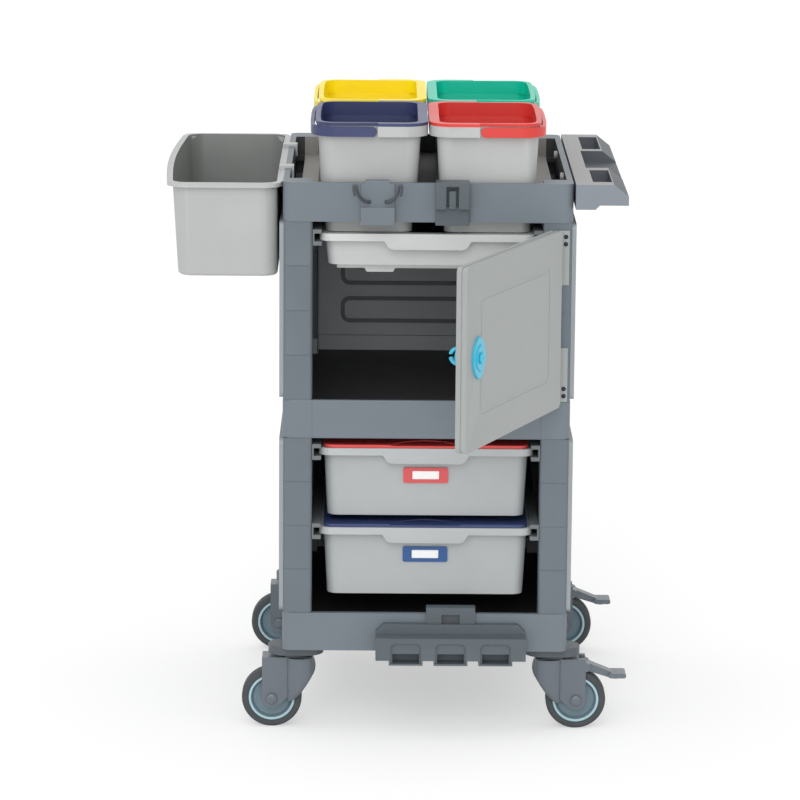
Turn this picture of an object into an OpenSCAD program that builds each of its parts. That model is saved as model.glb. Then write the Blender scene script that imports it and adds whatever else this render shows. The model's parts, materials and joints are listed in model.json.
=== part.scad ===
// Janitor cart: three moulded decks on hollow posts, a door, drawers, four
// buckets, a side bin, a push handle and swivel casters. Millimetres, +Z up,
// +Y to the back, floor at z = 0.

/* [Frame] */
// Width of the decks across the side rails
frame_w = 472; // [450:1:520]
// Depth of the decks from the front rail to the back rail
frame_d = 576; // [570:1:640]
// Height of each deck's rail
rail_h = 64; // [58:1:76]
// Thickness of the rail wall
rail_t = 10; // [8:1:13]
// Radius of the decks' vertical corners
deck_r = 14; // [6:1:20]
// Drop from the rail's top edge to the shelf floor
floor_drop = 27; // [18:1:32]
// Thickness of the shelf floors
floor_t = 4; // [3:0.5:6]
// Thickness of the ribs under the shelf floors
rib_t = 3; // [2:0.5:5]
// Number of ribs each way under the shelf floors
rib_n = 3; // [1:1:5]
// Width of the square corner posts
post_w = 47; // [42:1:52]
// Clear length of a post between two decks
post_len = 296; // [290:1:340]
// Wall of the hollow posts
post_wall = 4; // [3:0.5:6]
// Radius of the posts' long edges
post_r = 5; // [2:0.5:8]
// Step from the rail's face back to the post's face
post_step = 1.5; // [0.5:0.1:3]
// Length of the spigots that plug into the posts
spigot_h = 20; // [10:1:30]
// Clearance around a spigot in its post
spigot_fit = 0.2; // [0.1:0.05:0.5]
// Height of the bucket plate's top above the top deck's underside
plate_up = 32; // [28:1:34]
// Thickness of the bucket plate
plate_t = 8; // [5:0.5:10]

/* [Panels] */
// Thickness of the back panels
back_t = 4; // [3:0.5:6]
// Height of the stiffening beads on the back panels
bead_h = 3; // [1:0.5:4]
// Height of one bead loop
bead_loop_h = 47; // [30:1:55]
// Spacing of the bead loops up the panel
bead_pitch = 68; // [60:1:72]
// Thickness of the side panels
side_t = 7; // [4:0.5:10]
// Depth of the sunk field on the side panels
side_field = 1.5; // [0.5:0.5:3]

/* [Casters] */
// Height of the base deck's underside above the floor
deck_z = 141; // [138:1:160]
// Diameter over the tyre
wheel_d = 100; // [90:1:104]
// Width of the tyre
tyre_w = 30; // [24:1:34]
// Diameter of the wheel centre that carries the tyre
hub_d = 78; // [64:1:82]
// Diameter of the axle
axle_d = 10; // [8:1:12]
// Offset of the axle from the swivel axis
trail = 40; // [36:1:44]
// Inset of the swivel axes from the ends of the base deck
caster_inset_y = 46; // [40:1:60]
// Inset of the swivel axes from the sides of the base deck
caster_inset_x = 22; // [20:1:30]
// Length of the socket flange
socket_l = 92; // [70:1:100]
// Width of the socket flange
socket_w = 58; // [50:1:70]
// Height of the socket flange and its neck
socket_h = 20; // [18:1:24]
// Diameter of the swivel pin
king_d = 14; // [10:1:18]
// Running clearance on the radius of pins and axles
run_fit = 0.05; // [0.02:0.01:0.1]
// Wall of the fork's cheeks
cheek_t = 4; // [3:0.5:6]
// Reach of the brake pedal from the swivel axis
pedal_reach = 124; // [116:1:130]

/* [Buckets] */
// Width of a bucket over its rim
bucket_w = 192; // [176:1:198]
// Setback of the bucket rims from the rails' outer face
bucket_end = 3; // [2:0.5:8]
// Height of a bucket
bucket_h = 171; // [150:1:190]
// Height of the seat ledge above the bucket's bottom
ledge_h = 48; // [40:1:60]
// Height of the grey rim band
band_h = 17; // [14:1:24]
// Overhang of the rim band past the body
band_out = 12; // [10:0.5:14]
// Thickness of the bails
bail_t = 6; // [4:0.5:7]
// Thickness of the coloured lip over the rim
lip_t = 5; // [3:0.5:7]
// Draw of the body from the band to the bottom, each side
bucket_draw = 9; // [6:0.5:12]
// Step at the seat ledge, each side
ledge_step = 4; // [3:0.5:6]
// Wall of the buckets
bucket_wall = 2.5; // [2:0.5:4]
// Wall of the coloured liners
liner_wall = 1.5; // [1:0.5:3]
// Gap between neighbouring bucket rims across the cart
bucket_gap = 2; // [1:0.5:8]
// Gap between neighbouring bucket rims along the cart
bucket_row_gap = 4; // [3:0.5:8]
// Clearance of a bucket in its opening
bucket_fit = 1.5; // [1:0.5:3]

/* [Bin and push handle] */
// Width of the side bin over its rim
bin_w = 187; // [160:1:220]
// Overhang of the side bin past each end of the decks
bin_over = 2; // [0:0.5:6]
// Height of the side bin
bin_h = 156; // [120:1:180]
// Wall of the side bin
bin_wall = 3; // [2:0.5:5]
// Width of the bin's turned rim
bin_rim = 9; // [6:1:14]
// Draw of the bin from rim to bottom, each side
bin_draw = 9; // [4:1:20]
// Overhang of the push handle past each end of the decks
grip_over = 4; // [0:0.5:8]
// Reach of the push handle out of the side rail
grip_w = 86; // [76:1:100]
// Height of the push handle
grip_h = 41; // [34:1:50]
// Width of the hand openings
hand_w = 31; // [26:1:36]
// Width of the bar outside the hand openings
grip_bar = 26; // [22:1:32]
// Length of the saddle in the push handle
saddle_l = 195; // [150:1:200]

/* [Drawers] */
// Depth of the two deep drawers, top to bottom
drawer_h = 117; // [90:1:118]
// Depth of the shallow tray, top to bottom
tray_h = 54; // [40:1:70]
// Spacing of the drawers' rims up the cart
drawer_pitch = 134; // [132:1:138]
// Gap from the deck above down to the upper drawer's rim
drawer_gap = 18; // [17:1:22]
// Gap from the top deck down to the shallow tray's rim
tray_gap = 21; // [20:1:30]
// Height of the rolled rim
rim_h = 12; // [8:1:16]
// Width of the rolled rim
rim_w = 8; // [6:0.5:12]
// Wall of the drawers
drawer_wall = 3; // [2:0.5:4]
// Draw of the drawers from rim to bottom, each side
drawer_draw = 6; // [3:0.5:10]
// Width of the finger pull
pull_w = 128; // [80:1:150]
// Drop of the finger pull below the rim's top
pull_drop = 26; // [20:1:34]
// Thickness of the drawer lids
lid_t = 5; // [3:0.5:6]
// Width of a label holder
label_w = 74; // [60:1:90]
// Height of a label holder
label_h = 26; // [20:1:32]
// Thickness of a label holder
label_t = 3; // [2:0.5:4]
// Height of each runner ledge
ledge_t = 7; // [5:0.5:9]
// Reach of the runner ledges out of the post
runner_w = 15; // [13:0.5:18]
// Web of the runners against the posts
runner_web = 3; // [2:0.5:4]
// Side play of a rim in its runners
runner_play = 8; // [6:0.5:9]
// Play of a rim between its two runner ledges
runner_fit = 0.4; // [0.3:0.1:1]
// Setback of the drawers' fronts behind the rails' front face
drawer_front = 8; // [6:1:12]
// Gap behind the drawers to the rails' back face
drawer_back_gap = 30; // [26:1:40]

/* [Door] */
// Opening angle of the door as it stands
door_open = 66; // [40:1:100]
// Thickness of the door
door_t = 18; // [14:1:22]
// Gap from the rails' front face to the closed door
door_gap = 4; // [3:0.5:6]
// Lap of the door over the rail below it
door_lap = 4; // [2:1:8]
// Gap between the door's top and the top deck
door_head = 8; // [5:1:14]
// Radius of the door's corners
door_r = 8; // [4:1:14]
// Inset of the hinge axis from the side of the decks
hinge_inset = 24; // [22:1:30]
// Lap of the door's free edge over the post
door_side_lap = 2.5; // [1:0.5:6]
// Diameter of the hinge knuckles
knuckle_d = 13; // [11:1:15]
// Diameter of the hinge pins
hinge_pin_d = 6; // [4:0.5:7]
// Length of a fixed hinge knuckle
knuckle_l = 26; // [20:1:34]
// Length of a hinge plate
plate_l = 90; // [80:1:100]
// Inset of the lock from the door's free edge
lock_inset = 44; // [38:1:50]
// Height of the lock above the door's bottom edge
lock_up = 145; // [80:1:180]
// Width of the leaf-shaped lock plate
leaf_w = 46; // [36:1:52]
// Height of the leaf-shaped lock plate
leaf_h = 68; // [60:1:90]
// Diameter of the lock's shaft
lock_d = 8; // [6:1:10]

/* [Front fittings] */
// Position of the mop clip along the top rail
clip_x = -82; // [-130:1:-60]
// Bore of the mop clip
clip_d = 30; // [22:1:34]
// Height of the mop clip's jaws
clip_h = 18; // [14:1:26]
// Position of the tool hook along the top rail
hook_x = 39; // [10:1:120]
// Width of the clip and hook plates
plate_w = 55; // [45:1:65]
// Position of the tool rack along the base rail
rack_x = 43; // [0:1:50]
// Width of the tool rack
rack_w = 248; // [230:1:260]
// Depth of the tool rack out of the rail
rack_d = 45; // [38:1:50]
// Spacing of the tool rack's pockets
pocket_pitch = 74; // [66:1:80]
// Width of one pocket
pocket_w = 50; // [36:1:54]

/* [Hidden] */
$fn = 48;
// Overrun of a cut past the face that it opens
cut = 1;
// Gap between pieces that lie against each other on different bodies
seat = 0.3;

base_top = deck_z + rail_h;
mid_z = base_top + post_len;
mid_top = mid_z + rail_h;
top_z = mid_top + post_len;
top_top = top_z + rail_h;
under_h = rail_h - floor_drop - floor_t;
mid_y = frame_d / 2;
corner_w = post_w + post_step;
post_x = frame_w / 2 - post_step - post_w / 2;
post_in = frame_w / 2 - post_step - post_w;
post_face = frame_w / 2 - post_step;
panel_y = frame_d - rail_t / 2 - back_t / 2;

caster_x = frame_w / 2 - caster_inset_x;
wheel_r = wheel_d / 2;
fork_top = deck_z - socket_h - 2 * run_fit;
tyre_slot = tyre_w + 3;
fork_w = tyre_slot + 2 * cheek_t;
wheel_gap = 4;
glue_gap = 0.2;
ear_u = trail + 16;
ear_z = fork_top - 14;
ear_r = 8;
pedal_w = tyre_w - 8;
king_h = 30;
stem_d = 24;
stem_h = 26;
stem_block = stem_d / 2 + 6;

plate_top = top_z + plate_up;
bucket_l = (frame_d - bucket_row_gap) / 2 - bucket_end;
bucket_x = bucket_w / 2 + bucket_gap / 2;
bucket_y = bucket_l / 2 + bucket_row_gap / 2;
bucket_z = plate_top + seat - ledge_h;
bucket_top = bucket_z + bucket_h;
body_w = bucket_w - 2 * band_out;
body_l = bucket_l - 2 * band_out;
body_h = bucket_h - band_h;
ledge_draw = bucket_draw * (body_h - ledge_h) / body_h;
bucket_r = 26;
band_r = bucket_r + band_out;
bail_h = band_h - 1;
bail_z = bucket_top - band_h / 2 - 0.5;
bail_play = 1.2;
bail_in = band_out - bail_t;
pivot_d = 8;
pivot_in = 5;
bare_from = pivot_in + bail_h / 2 + bail_play;

bin_l = frame_d + 2 * bin_over;
bin_x = -frame_w / 2 - seat - bin_w / 2;
bin_top = top_top - 2;
bin_z = bin_top - bin_h;
hook_w = 26;
hook_t = 4;
finger_t = 2.4;
finger_h = 16;
hook_share = 0.217;
hook_y = [mid_y - hook_share * frame_d, mid_y + hook_share * frame_d];

grip_l = frame_d + 2 * grip_over;
grip_gap = 3;
grip_x = frame_w / 2 + grip_gap;
grip_top = top_top;
stud_drop = 12;

rim_half = post_in - runner_web - runner_play;
body_half = rim_half - rim_w;
drawer_l = frame_d - drawer_back_gap - drawer_front;
pull_gap = 14;
red_rim = mid_z - drawer_gap;
blue_rim = red_rim - drawer_pitch;
tray_rim = top_z - tray_gap;
lid_z = seat;

door_y = -door_gap - door_t;
hinge_x = frame_w / 2 - hinge_inset;
hinge_y = -door_gap - door_t / 2;
knuckle_gap = 0.5;
door_right = hinge_x - knuckle_d / 2 - knuckle_gap;
door_left = -post_in - door_side_lap;
door_w = door_right - door_left;
door_z = mid_top - door_lap;
door_h = top_z - door_head - door_z;
lock_x = door_left + lock_inset;
lock_z = door_z + lock_up;
cam_t = 4;
cam_y = post_step + post_wall + 1;
cam_l = lock_inset - door_side_lap + 2 * post_wall;
hinge_end = 4;
hinge_z = [door_z + hinge_end, door_z + door_h - hinge_end - plate_l];
hinge_leaf_t = 3;
lock_plate_t = 4;
crown_t = 2;

rack_z = deck_z - 5;
clip_wall = 4;
clip_plate_t = 6;
clip_r = clip_d / 2;
clip_y = -clip_r - clip_wall - clip_plate_t;
clip_z = top_top - clip_h - 10;
fitting_lap = 4;

tip_x = door_left - hinge_x;
tip_y = door_y - hinge_y;
front_y = hinge_y + tip_x * sin(door_open) + tip_y * cos(door_open);
back_y = mid_y + max(bucket_y + bucket_l / 2, bin_l / 2, grip_l / 2);
origin_x = (bin_x - bin_w / 2 + caster_x + pedal_reach) / 2;
origin_y = (front_y + back_y) / 2;

frame_grey = "#7e8890";
dark_grey = "#4a4d52";
light_grey = "#bbbdbd";
rack_grey = "#5a646b";
cyan = "#4abbd3";

// Rectangle with round corners, about the origin
module round_rect(w, d, r) {
    square([w - 2 * r, d], center = true);
    square([w, d - 2 * r], center = true);
    for (sx = [-1, 1], sy = [-1, 1])
        translate([sx * (w / 2 - r), sy * (d / 2 - r)])
            circle(r);
}

// Block that widens upwards by the same draw on every side
module drawn_block(w, d, h, draw, r) {
    linear_extrude(h, scale = [w / (w - 2 * draw), d / (d - 2 * draw)], slices = 1, segments = 0)
        round_rect(w - 2 * draw, d - 2 * draw, r, $fn = 32);
}

// Outline in the XZ plane made solid along Y
module along_y(from, length) {
    translate([0, from + length, 0])
        rotate([90, 0, 0])
            linear_extrude(length)
                children();
}

// One child at each corner of the frame, at the post's centre
module at_posts() {
    for (sx = [-1, 1], sy = [-1, 1])
        translate([sx * post_x, mid_y + sy * (mid_y - post_step - post_w / 2), 0])
            children();
}

// Well inside a deck's rail, clear of the blocks at the four corners
module deck_well(h, block_x, block_y) {
    translate([0, mid_y, 0])
        linear_extrude(h) {
            square([frame_w - 2 * rail_t, frame_d - 2 * block_y], center = true);
            square([frame_w - 2 * block_x, frame_d - 2 * rail_t], center = true);
        }
}

module deck_blank() {
    translate([0, mid_y, 0])
        linear_extrude(rail_h)
            round_rect(frame_w, frame_d, deck_r);
}

module spigot() {
    side = post_w - 2 * post_wall - 2 * spigot_fit;
    translate([-side / 2, -side / 2, 0])
        cube([side, side, spigot_h]);
}

// Ribs that stiffen a shelf floor from below
module floor_ribs() {
    long_x = frame_w - 2 * rail_t;
    long_y = frame_d - 2 * rail_t;
    for (k = [1 : rib_n]) {
        x = -frame_w / 2 + corner_w + k * (frame_w - 2 * corner_w) / (rib_n + 1);
        y = corner_w + k * (frame_d - 2 * corner_w) / (rib_n + 1);
        translate([x - rib_t / 2, rail_t, 0])
            cube([rib_t, long_y, under_h]);
        translate([-long_x / 2, y - rib_t / 2, 0])
            cube([long_x, rib_t, under_h]);
    }
}

// Deck with a raised rail, a sunk floor and ribs under the floor
module shelf_deck(block_x, block_y) {
    difference() {
        deck_blank();
        translate([0, 0, rail_h - floor_drop])
            deck_well(floor_drop + cut, corner_w, corner_w);
        translate([0, 0, -cut])
            deck_well(under_h + cut, block_x, block_y);
    }
    floor_ribs();
    at_posts()
        translate([0, 0, rail_h])
            spigot();
}

module base_deck() {
    color(frame_grey)
        translate([0, 0, deck_z])
            difference() {
                shelf_deck(max(corner_w, caster_inset_x + stem_block), max(corner_w, caster_inset_y + stem_block));
                at_casters()
                    translate([0, 0, -cut])
                        cylinder(d = stem_d, h = stem_h + cut);
            }
}

module mid_shelf() {
    color(frame_grey)
        translate([0, 0, mid_z]) {
            shelf_deck(corner_w, corner_w);
            at_posts()
                translate([0, 0, -spigot_h])
                    spigot();
        }
}

// Opening of the top deck for one bucket
module bucket_opening() {
    w = body_w - 2 * ledge_draw - 2 * ledge_step + 2 * bucket_fit;
    l = body_l - 2 * ledge_draw - 2 * ledge_step + 2 * bucket_fit;
    linear_extrude(rail_h)
        round_rect(w, l, bucket_r - ledge_draw);
}

module top_frame() {
    gutter_w = 16;
    color(frame_grey)
        translate([0, 0, top_z]) {
            difference() {
                deck_blank();
                translate([0, 0, plate_top - top_z])
                    deck_well(rail_h, corner_w, corner_w);
                translate([0, 0, plate_top - top_z - plate_t - rail_h])
                    deck_well(rail_h, corner_w, corner_w);
                for (sx = [-1, 1], sy = [-1, 1])
                    translate([sx * bucket_x, mid_y + sy * bucket_y, 0])
                        bucket_opening();
                for (s = [-1, 1])
                    translate([s * (frame_w / 2 - rail_t - gutter_w / 2), mid_y, 0])
                        cube([gutter_w, frame_d - 2 * corner_w - 2 * gutter_w, 2 * rail_h], center = true);
                for (y = hook_y)
                    translate([grip_x + cut, y, rail_h - stud_drop])
                        rotate([0, -90, 0])
                            cylinder(d = pivot_d, h = grip_gap + rail_t + 2 * cut);
            }
            at_posts()
                translate([0, 0, -spigot_h])
                    spigot();
        }
}

// Hollow post with shallow moulded lines round it
module post() {
    line_h = 1.2;
    line_t = 0.6;
    difference() {
        linear_extrude(post_len)
            round_rect(post_w, post_w, post_r);
        translate([0, 0, -cut])
            linear_extrude(post_len + 2 * cut)
                square(post_w - 2 * post_wall, center = true);
        for (k = [1 : 3])
            translate([0, 0, k * post_len / 4])
                linear_extrude(line_h)
                    difference() {
                        square(post_w + cut, center = true);
                        square(post_w - 2 * line_t, center = true);
                    }
    }
}

module lower_posts() {
    color(frame_grey)
        at_posts()
            translate([0, 0, base_top])
                post();
}

module upper_posts() {
    slot_h = 2 * cam_t + 10;
    color(frame_grey)
        difference() {
            at_posts()
                translate([0, 0, mid_top])
                    post();
            translate([-post_in - post_wall - cut, cam_y - 2, lock_z - slot_h / 2])
                cube([post_wall + 2 * cut, cam_t + 4, slot_h]);
        }
}

// Back panel with rounded bead loops on its inner face
module back_panel(z) {
    loop_in = 40;
    w = 2 * post_in;
    loop_w = w - 2 * loop_in;
    loop_r = 16;
    bead_w = 7;
    first = (post_len - 3 * bead_pitch) / 2;
    along_y(panel_y, back_t)
        translate([-w / 2, z])
            square([w, post_len]);
    along_y(panel_y - bead_h, bead_h)
        for (k = [0 : 3])
            translate([0, z + first + k * bead_pitch])
                difference() {
                    round_rect(loop_w, bead_loop_h, loop_r);
                    round_rect(loop_w - 2 * bead_w, bead_loop_h - 2 * bead_w, loop_r - bead_w);
                }
}

module upper_back_panel() {
    color(dark_grey)
        back_panel(mid_top);
}

module lower_back_panel() {
    color(dark_grey)
        back_panel(base_top);
}

// Pair of side panels clipped over the posts' outer faces
module side_panels(z) {
    w = frame_d - 12;
    h = post_len - 4;
    r = 10;
    border = 34;
    field_r = 18;
    for (s = [-1, 1])
        difference() {
            translate([s * (post_face + side_t / 2), mid_y, z + post_len / 2])
                rotate([90, 0, 90])
                    linear_extrude(side_t, center = true)
                        round_rect(w, h, r);
            translate([s * (post_face + side_t + cut - side_field / 2), mid_y, z + post_len / 2])
                rotate([90, 0, 90])
                    linear_extrude(2 * cut + side_field, center = true)
                        round_rect(w - 2 * border, h - 2 * border, field_r);
        }
}

module upper_side_panels() {
    color(light_grey)
        side_panels(mid_top);
}

module lower_side_panels() {
    color(light_grey)
        side_panels(base_top);
}

// Channel that carries one side of a drawer's rim
module runner(rim_top) {
    channel_h = rim_h + 2 * runner_fit;
    bottom = rim_top - rim_h - runner_fit - ledge_t;
    front = post_step + 2;
    along_y(front, panel_y - seat - front)
        difference() {
            translate([post_in - runner_w, bottom])
                square([runner_w, channel_h + 2 * ledge_t]);
            translate([post_in - runner_w - cut, bottom + ledge_t])
                square([runner_w - runner_web + cut, channel_h]);
        }
}

module drawer_runners() {
    color(light_grey)
        for (z = [tray_rim, red_rim, blue_rim], m = [0, 1])
            mirror([m, 0, 0])
                runner(z);
}

// Finger that hooks over the front rail of the top deck
module rail_hook(w, depth) {
    translate([-w / 2, -depth, top_top])
        cube([w, depth + rail_t + finger_t, hook_t]);
    translate([-w / 2, rail_t, top_top - finger_h])
        cube([w, finger_t, finger_h + hook_t]);
}

// Spring clip for a mop handle, with flared jaws
module mop_clip() {
    flare = 16;
    roll_r = 4;
    jaw_a = 55;
    jaw_turn = 75;
    tip = clip_r + clip_wall / 2;
    far = 2 * clip_d;
    hook_narrow = 16;
    block_d = 14;
    block_h = 30;
    color(frame_grey)
        translate([clip_x, 0, 0]) {
            rail_hook(plate_w - hook_narrow, clip_plate_t);
            translate([-plate_w / 2, -clip_plate_t, top_z - fitting_lap])
                cube([plate_w, clip_plate_t, rail_h + fitting_lap]);
            translate([-plate_w / 2, -block_d, top_z - fitting_lap])
                cube([plate_w, block_d, block_h]);
            translate([0, clip_y, clip_z]) {
                difference() {
                    cylinder(r = clip_r + clip_wall, h = clip_h);
                    translate([0, 0, -cut])
                        cylinder(r = clip_r, h = clip_h + 2 * cut);
                    translate([0, 0, -cut])
                        linear_extrude(clip_h + 2 * cut)
                            polygon([
                                [0, 0],
                                [-far * sin(jaw_a), -far * cos(jaw_a)],
                                [far * sin(jaw_a), -far * cos(jaw_a)]
                            ]);
                }
                for (s = [-1, 1])
                    translate([s * tip * sin(jaw_a), -tip * cos(jaw_a), 0])
                        rotate([0, 0, s * jaw_turn])
                            translate([-clip_wall / 2, -flare, 0]) {
                                cube([clip_wall, flare, clip_h]);
                                translate([clip_wall / 2, 0, 0])
                                    cylinder(r = roll_r, h = clip_h);
                            }
                translate([-clip_r, clip_r, 0])
                    cube([clip_d, clip_wall + cut, clip_h]);
            }
        }
}

// Block with a sprung tongue in a vertical slot
module tool_hook() {
    slot_w = 20;
    slot_h = 38;
    slot_back = 4;
    tongue_w = 11;
    tongue_t = 5;
    tongue_in = 3;
    tongue_root = 8;
    depth = 21;
    plate_d = 9;
    block_z = top_z + 24;
    color(rack_grey)
        translate([hook_x, 0, 0]) {
            rail_hook(plate_w, depth);
            translate([-plate_w / 2, -plate_d, top_z - fitting_lap])
                cube([plate_w, plate_d, block_z - top_z + 2 * fitting_lap]);
            difference() {
                translate([-plate_w / 2, -depth, block_z])
                    cube([plate_w, depth, top_top - block_z]);
                translate([-slot_w / 2, -depth - cut, block_z - cut])
                    cube([slot_w, depth - slot_back + cut, slot_h]);
            }
            translate([-tongue_w / 2, -depth + tongue_in, block_z])
                cube([tongue_w, tongue_t, slot_h - tongue_root]);
            translate([-tongue_w / 2, -depth + tongue_in, block_z])
                cube([tongue_w, depth - tongue_in - slot_back + cut, tongue_root]);
        }
}

// Arched outline of one pocket of the tool rack
module pocket_arch(w, h) {
    r = 9;
    translate([-w / 2, 0])
        square([w, h - r]);
    translate([-w / 2 + r, 0])
        square([w - 2 * r, h]);
    for (s = [-1, 1])
        translate([s * (w / 2 - r), h - r])
            circle(r);
}

// Rack hooked over the base deck's front rail, with three open pockets
module tool_rack() {
    beam_h = 38;
    back_h = 16;
    back_d = 14;
    chamfer = 13;
    cup_h = 8;
    cup_wall = 3;
    arch_h = 26;
    recess_t = 4;
    slot_h = 16;
    slot_w = pocket_w - 2 * cup_wall;
    bracket_w = 81;
    bracket_d = 8;
    bracket_up = 12;
    window_w = 30;
    window_h = 16;
    window_t = 6;
    pocket_d = rack_d - 18;
    cup_d = rack_d - 14;
    end_in = 6;
    end_w = 12;
    end_back = 8;
    end_h = beam_h - 6;
    color(rack_grey)
        translate([rack_x, 0, 0])
            difference() {
                union() {
                    translate([-rack_w / 2, -rack_d, rack_z])
                        cube([rack_w, rack_d, beam_h]);
                    along_y(-back_d, back_d)
                        translate([0, rack_z + beam_h])
                            polygon([
                                [-rack_w / 2, 0],
                                [rack_w / 2, 0],
                                [rack_w / 2, back_h - chamfer],
                                [rack_w / 2 - chamfer, back_h],
                                [-rack_w / 2 + chamfer, back_h],
                                [-rack_w / 2, back_h - chamfer]
                            ]);
                    translate([-bracket_w / 2, -bracket_d, rack_z + beam_h])
                        cube([bracket_w, bracket_d, base_top + bracket_up - rack_z - beam_h]);
                    translate([-bracket_w / 2, -bracket_d, base_top])
                        cube([bracket_w, bracket_d + rail_t + finger_t, bracket_up]);
                    translate([-bracket_w / 2, rail_t, base_top - finger_h])
                        cube([bracket_w, finger_t, finger_h + hook_t]);
                    for (k = [-1 : 1])
                        translate([k * pocket_pitch - pocket_w / 2 - cup_wall, -rack_d, rack_z - cup_h])
                            cube([pocket_w + 2 * cup_wall, cup_d, cup_h]);
                }
                for (k = [-1 : 1])
                    translate([k * pocket_pitch, 0, rack_z - cup_h + cup_wall]) {
                        along_y(-rack_d - cut, recess_t + cut)
                            pocket_arch(pocket_w, arch_h + cup_h);
                        translate([-slot_w / 2, -rack_d - cut, 0])
                            cube([slot_w, pocket_d, slot_h]);
                    }
                for (x = [-rack_w / 2 + end_in, rack_w / 2 - end_in - end_w])
                    translate([x, -rack_d + end_back, rack_z - cut])
                        cube([end_w, cup_d, end_h]);
                translate([-window_w / 2, -bracket_d - cut, base_top - window_h])
                    cube([window_w, window_t + cut, window_h]);
            }
}

// Side rail to push the cart by, with two hand openings and a saddle
module push_handle() {
    chamfer_x = 24;
    chamfer_z = 19;
    step_z = 7;
    step_x = 32;
    nose_h = grip_h - step_z;
    wall = 4;
    open_x = grip_x + grip_w - grip_bar - hand_w;
    saddle_y = mid_y - saddle_l / 2 - 6.5;
    saddle_end = saddle_y + saddle_l;
    saddle_drop = 20;
    end_l = 32;
    front_bridge = 26;
    back_bridge = 22;
    head_h = 6;
    y0 = mid_y - grip_l / 2;
    y1 = y0 + grip_l;
    color(frame_grey) {
        difference() {
            along_y(y0, grip_l)
                translate([grip_x, grip_top])
                    polygon([
                        [0, 0],
                        [grip_w - chamfer_x, 0],
                        [grip_w, -chamfer_z],
                        [grip_w, -nose_h],
                        [step_x + step_z, -nose_h],
                        [step_x, -grip_h],
                        [0, -grip_h]
                    ]);
            translate([open_x, y0 + end_l, grip_top - grip_h - cut])
                cube([hand_w, saddle_y - front_bridge - y0 - end_l, grip_h + 2 * cut]);
            translate([open_x, saddle_end + back_bridge, grip_top - grip_h - cut])
                cube([hand_w, y1 - end_l - saddle_end - back_bridge, grip_h + 2 * cut]);
            translate([open_x - wall, saddle_y, grip_top - saddle_drop])
                cube([grip_w, saddle_l, saddle_drop + cut]);
            translate([grip_x + wall, y0 + wall, grip_top - grip_h - cut])
                cube([open_x - grip_x - 2 * wall - cut, grip_l - 2 * wall, grip_h - wall + cut]);
        }
        for (y = hook_y)
            translate([grip_x, y, top_top - stud_drop])
                rotate([0, -90, 0]) {
                    cylinder(d = pivot_d, h = grip_gap + rail_t + head_h);
                    translate([0, 0, grip_gap + rail_t])
                        cylinder(d = pivot_d + 5, h = head_h);
                }
    }
}

// One child on each swivel axis
module at_casters() {
    for (sx = [-1, 1], sy = [-1, 1])
        translate([sx * caster_x, mid_y + sy * (mid_y - caster_inset_y), 0])
            children();
}

// Lozenge flange with a conical neck, a stem up into the deck and a pin bore
module caster_socket() {
    flange_t = 15;
    neck_d = 50;
    r = socket_w / 2;
    translate([0, 0, deck_z])
        difference() {
            union() {
                translate([0, 0, -flange_t])
                    linear_extrude(flange_t) {
                        square([socket_l - socket_w, socket_w], center = true);
                        for (s = [-1, 1])
                            translate([s * (socket_l - socket_w) / 2, 0])
                                circle(r);
                    }
                translate([0, 0, -socket_h])
                    cylinder(d1 = neck_d, d2 = socket_w - 2, h = socket_h - flange_t);
                cylinder(d = stem_d, h = stem_h);
            }
            translate([0, 0, -socket_h - cut])
                cylinder(d = king_d + 2 * run_fit, h = king_h + 2 * cut);
        }
}

module caster_sockets() {
    color(dark_grey)
        at_casters()
            caster_socket();
}

// Places a caster's parts, drawn with the wheel trailing to +X
module at_caster(side, sy) {
    translate([side * caster_x, mid_y + sy * (mid_y - caster_inset_y), 0])
        rotate([0, 0, side > 0 ? 0 : 180])
            children();
}

// Fork with a round swivel housing, two cheeks and, if braked, pedal ears
module fork(braked) {
    house_r = 30;
    house_h = 44;
    bulge_r = 33;
    bulge_drop = 18;
    nose_drop = 26;
    boss_r = 16.5;
    nose_r = 10;
    edge = 8;
    color("#6c737e")
        difference() {
            union() {
                along_y(-fork_w / 2, fork_w)
                    hull($fn = 32) {
                        translate([trail, wheel_r])
                            circle(boss_r);
                        translate([nose_r - house_r + 2, fork_top - nose_drop])
                            circle(nose_r);
                        translate([2 - house_r, fork_top - edge])
                            square(edge);
                        translate([trail + edge, fork_top - 3 * edge])
                            square([edge, 3 * edge]);
                    }
                if (braked)
                    along_y(-fork_w / 2, fork_w)
                        hull($fn = 32) {
                            translate([ear_u, ear_z])
                                circle(ear_r);
                            translate([trail - ear_r - edge, fork_top - 3 * edge])
                                square([edge, 3 * edge]);
                        }
                rotate_extrude()
                    intersection() {
                        translate([0, fork_top - bulge_drop])
                            circle(bulge_r);
                        translate([0, fork_top - house_h])
                            square([bulge_r, house_h]);
                    }
                translate([0, 0, fork_top - cut])
                    cylinder(d = king_d, h = king_h - 4 * cut);
            }
            translate([trail, 0, wheel_r])
                rotate([90, 0, 0])
                    cylinder(r = wheel_r + wheel_gap, h = tyre_slot, center = true);
            translate([trail, 0, wheel_r])
                rotate([90, 0, 0])
                    cylinder(d = axle_d + 2 * run_fit, h = fork_w + 2 * cut, center = true);
            if (braked) {
                translate([ear_u - ear_r - 3, -pedal_w / 2 - seat, ear_z - 2 * ear_r])
                    cube([4 * ear_r, pedal_w + 2 * seat, 4 * ear_r]);
                translate([ear_u, 0, ear_z])
                    rotate([90, 0, 0])
                        cylinder(d = pivot_d + 2 * run_fit, h = fork_w + 2 * cut, center = true);
            }
        }
}

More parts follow.
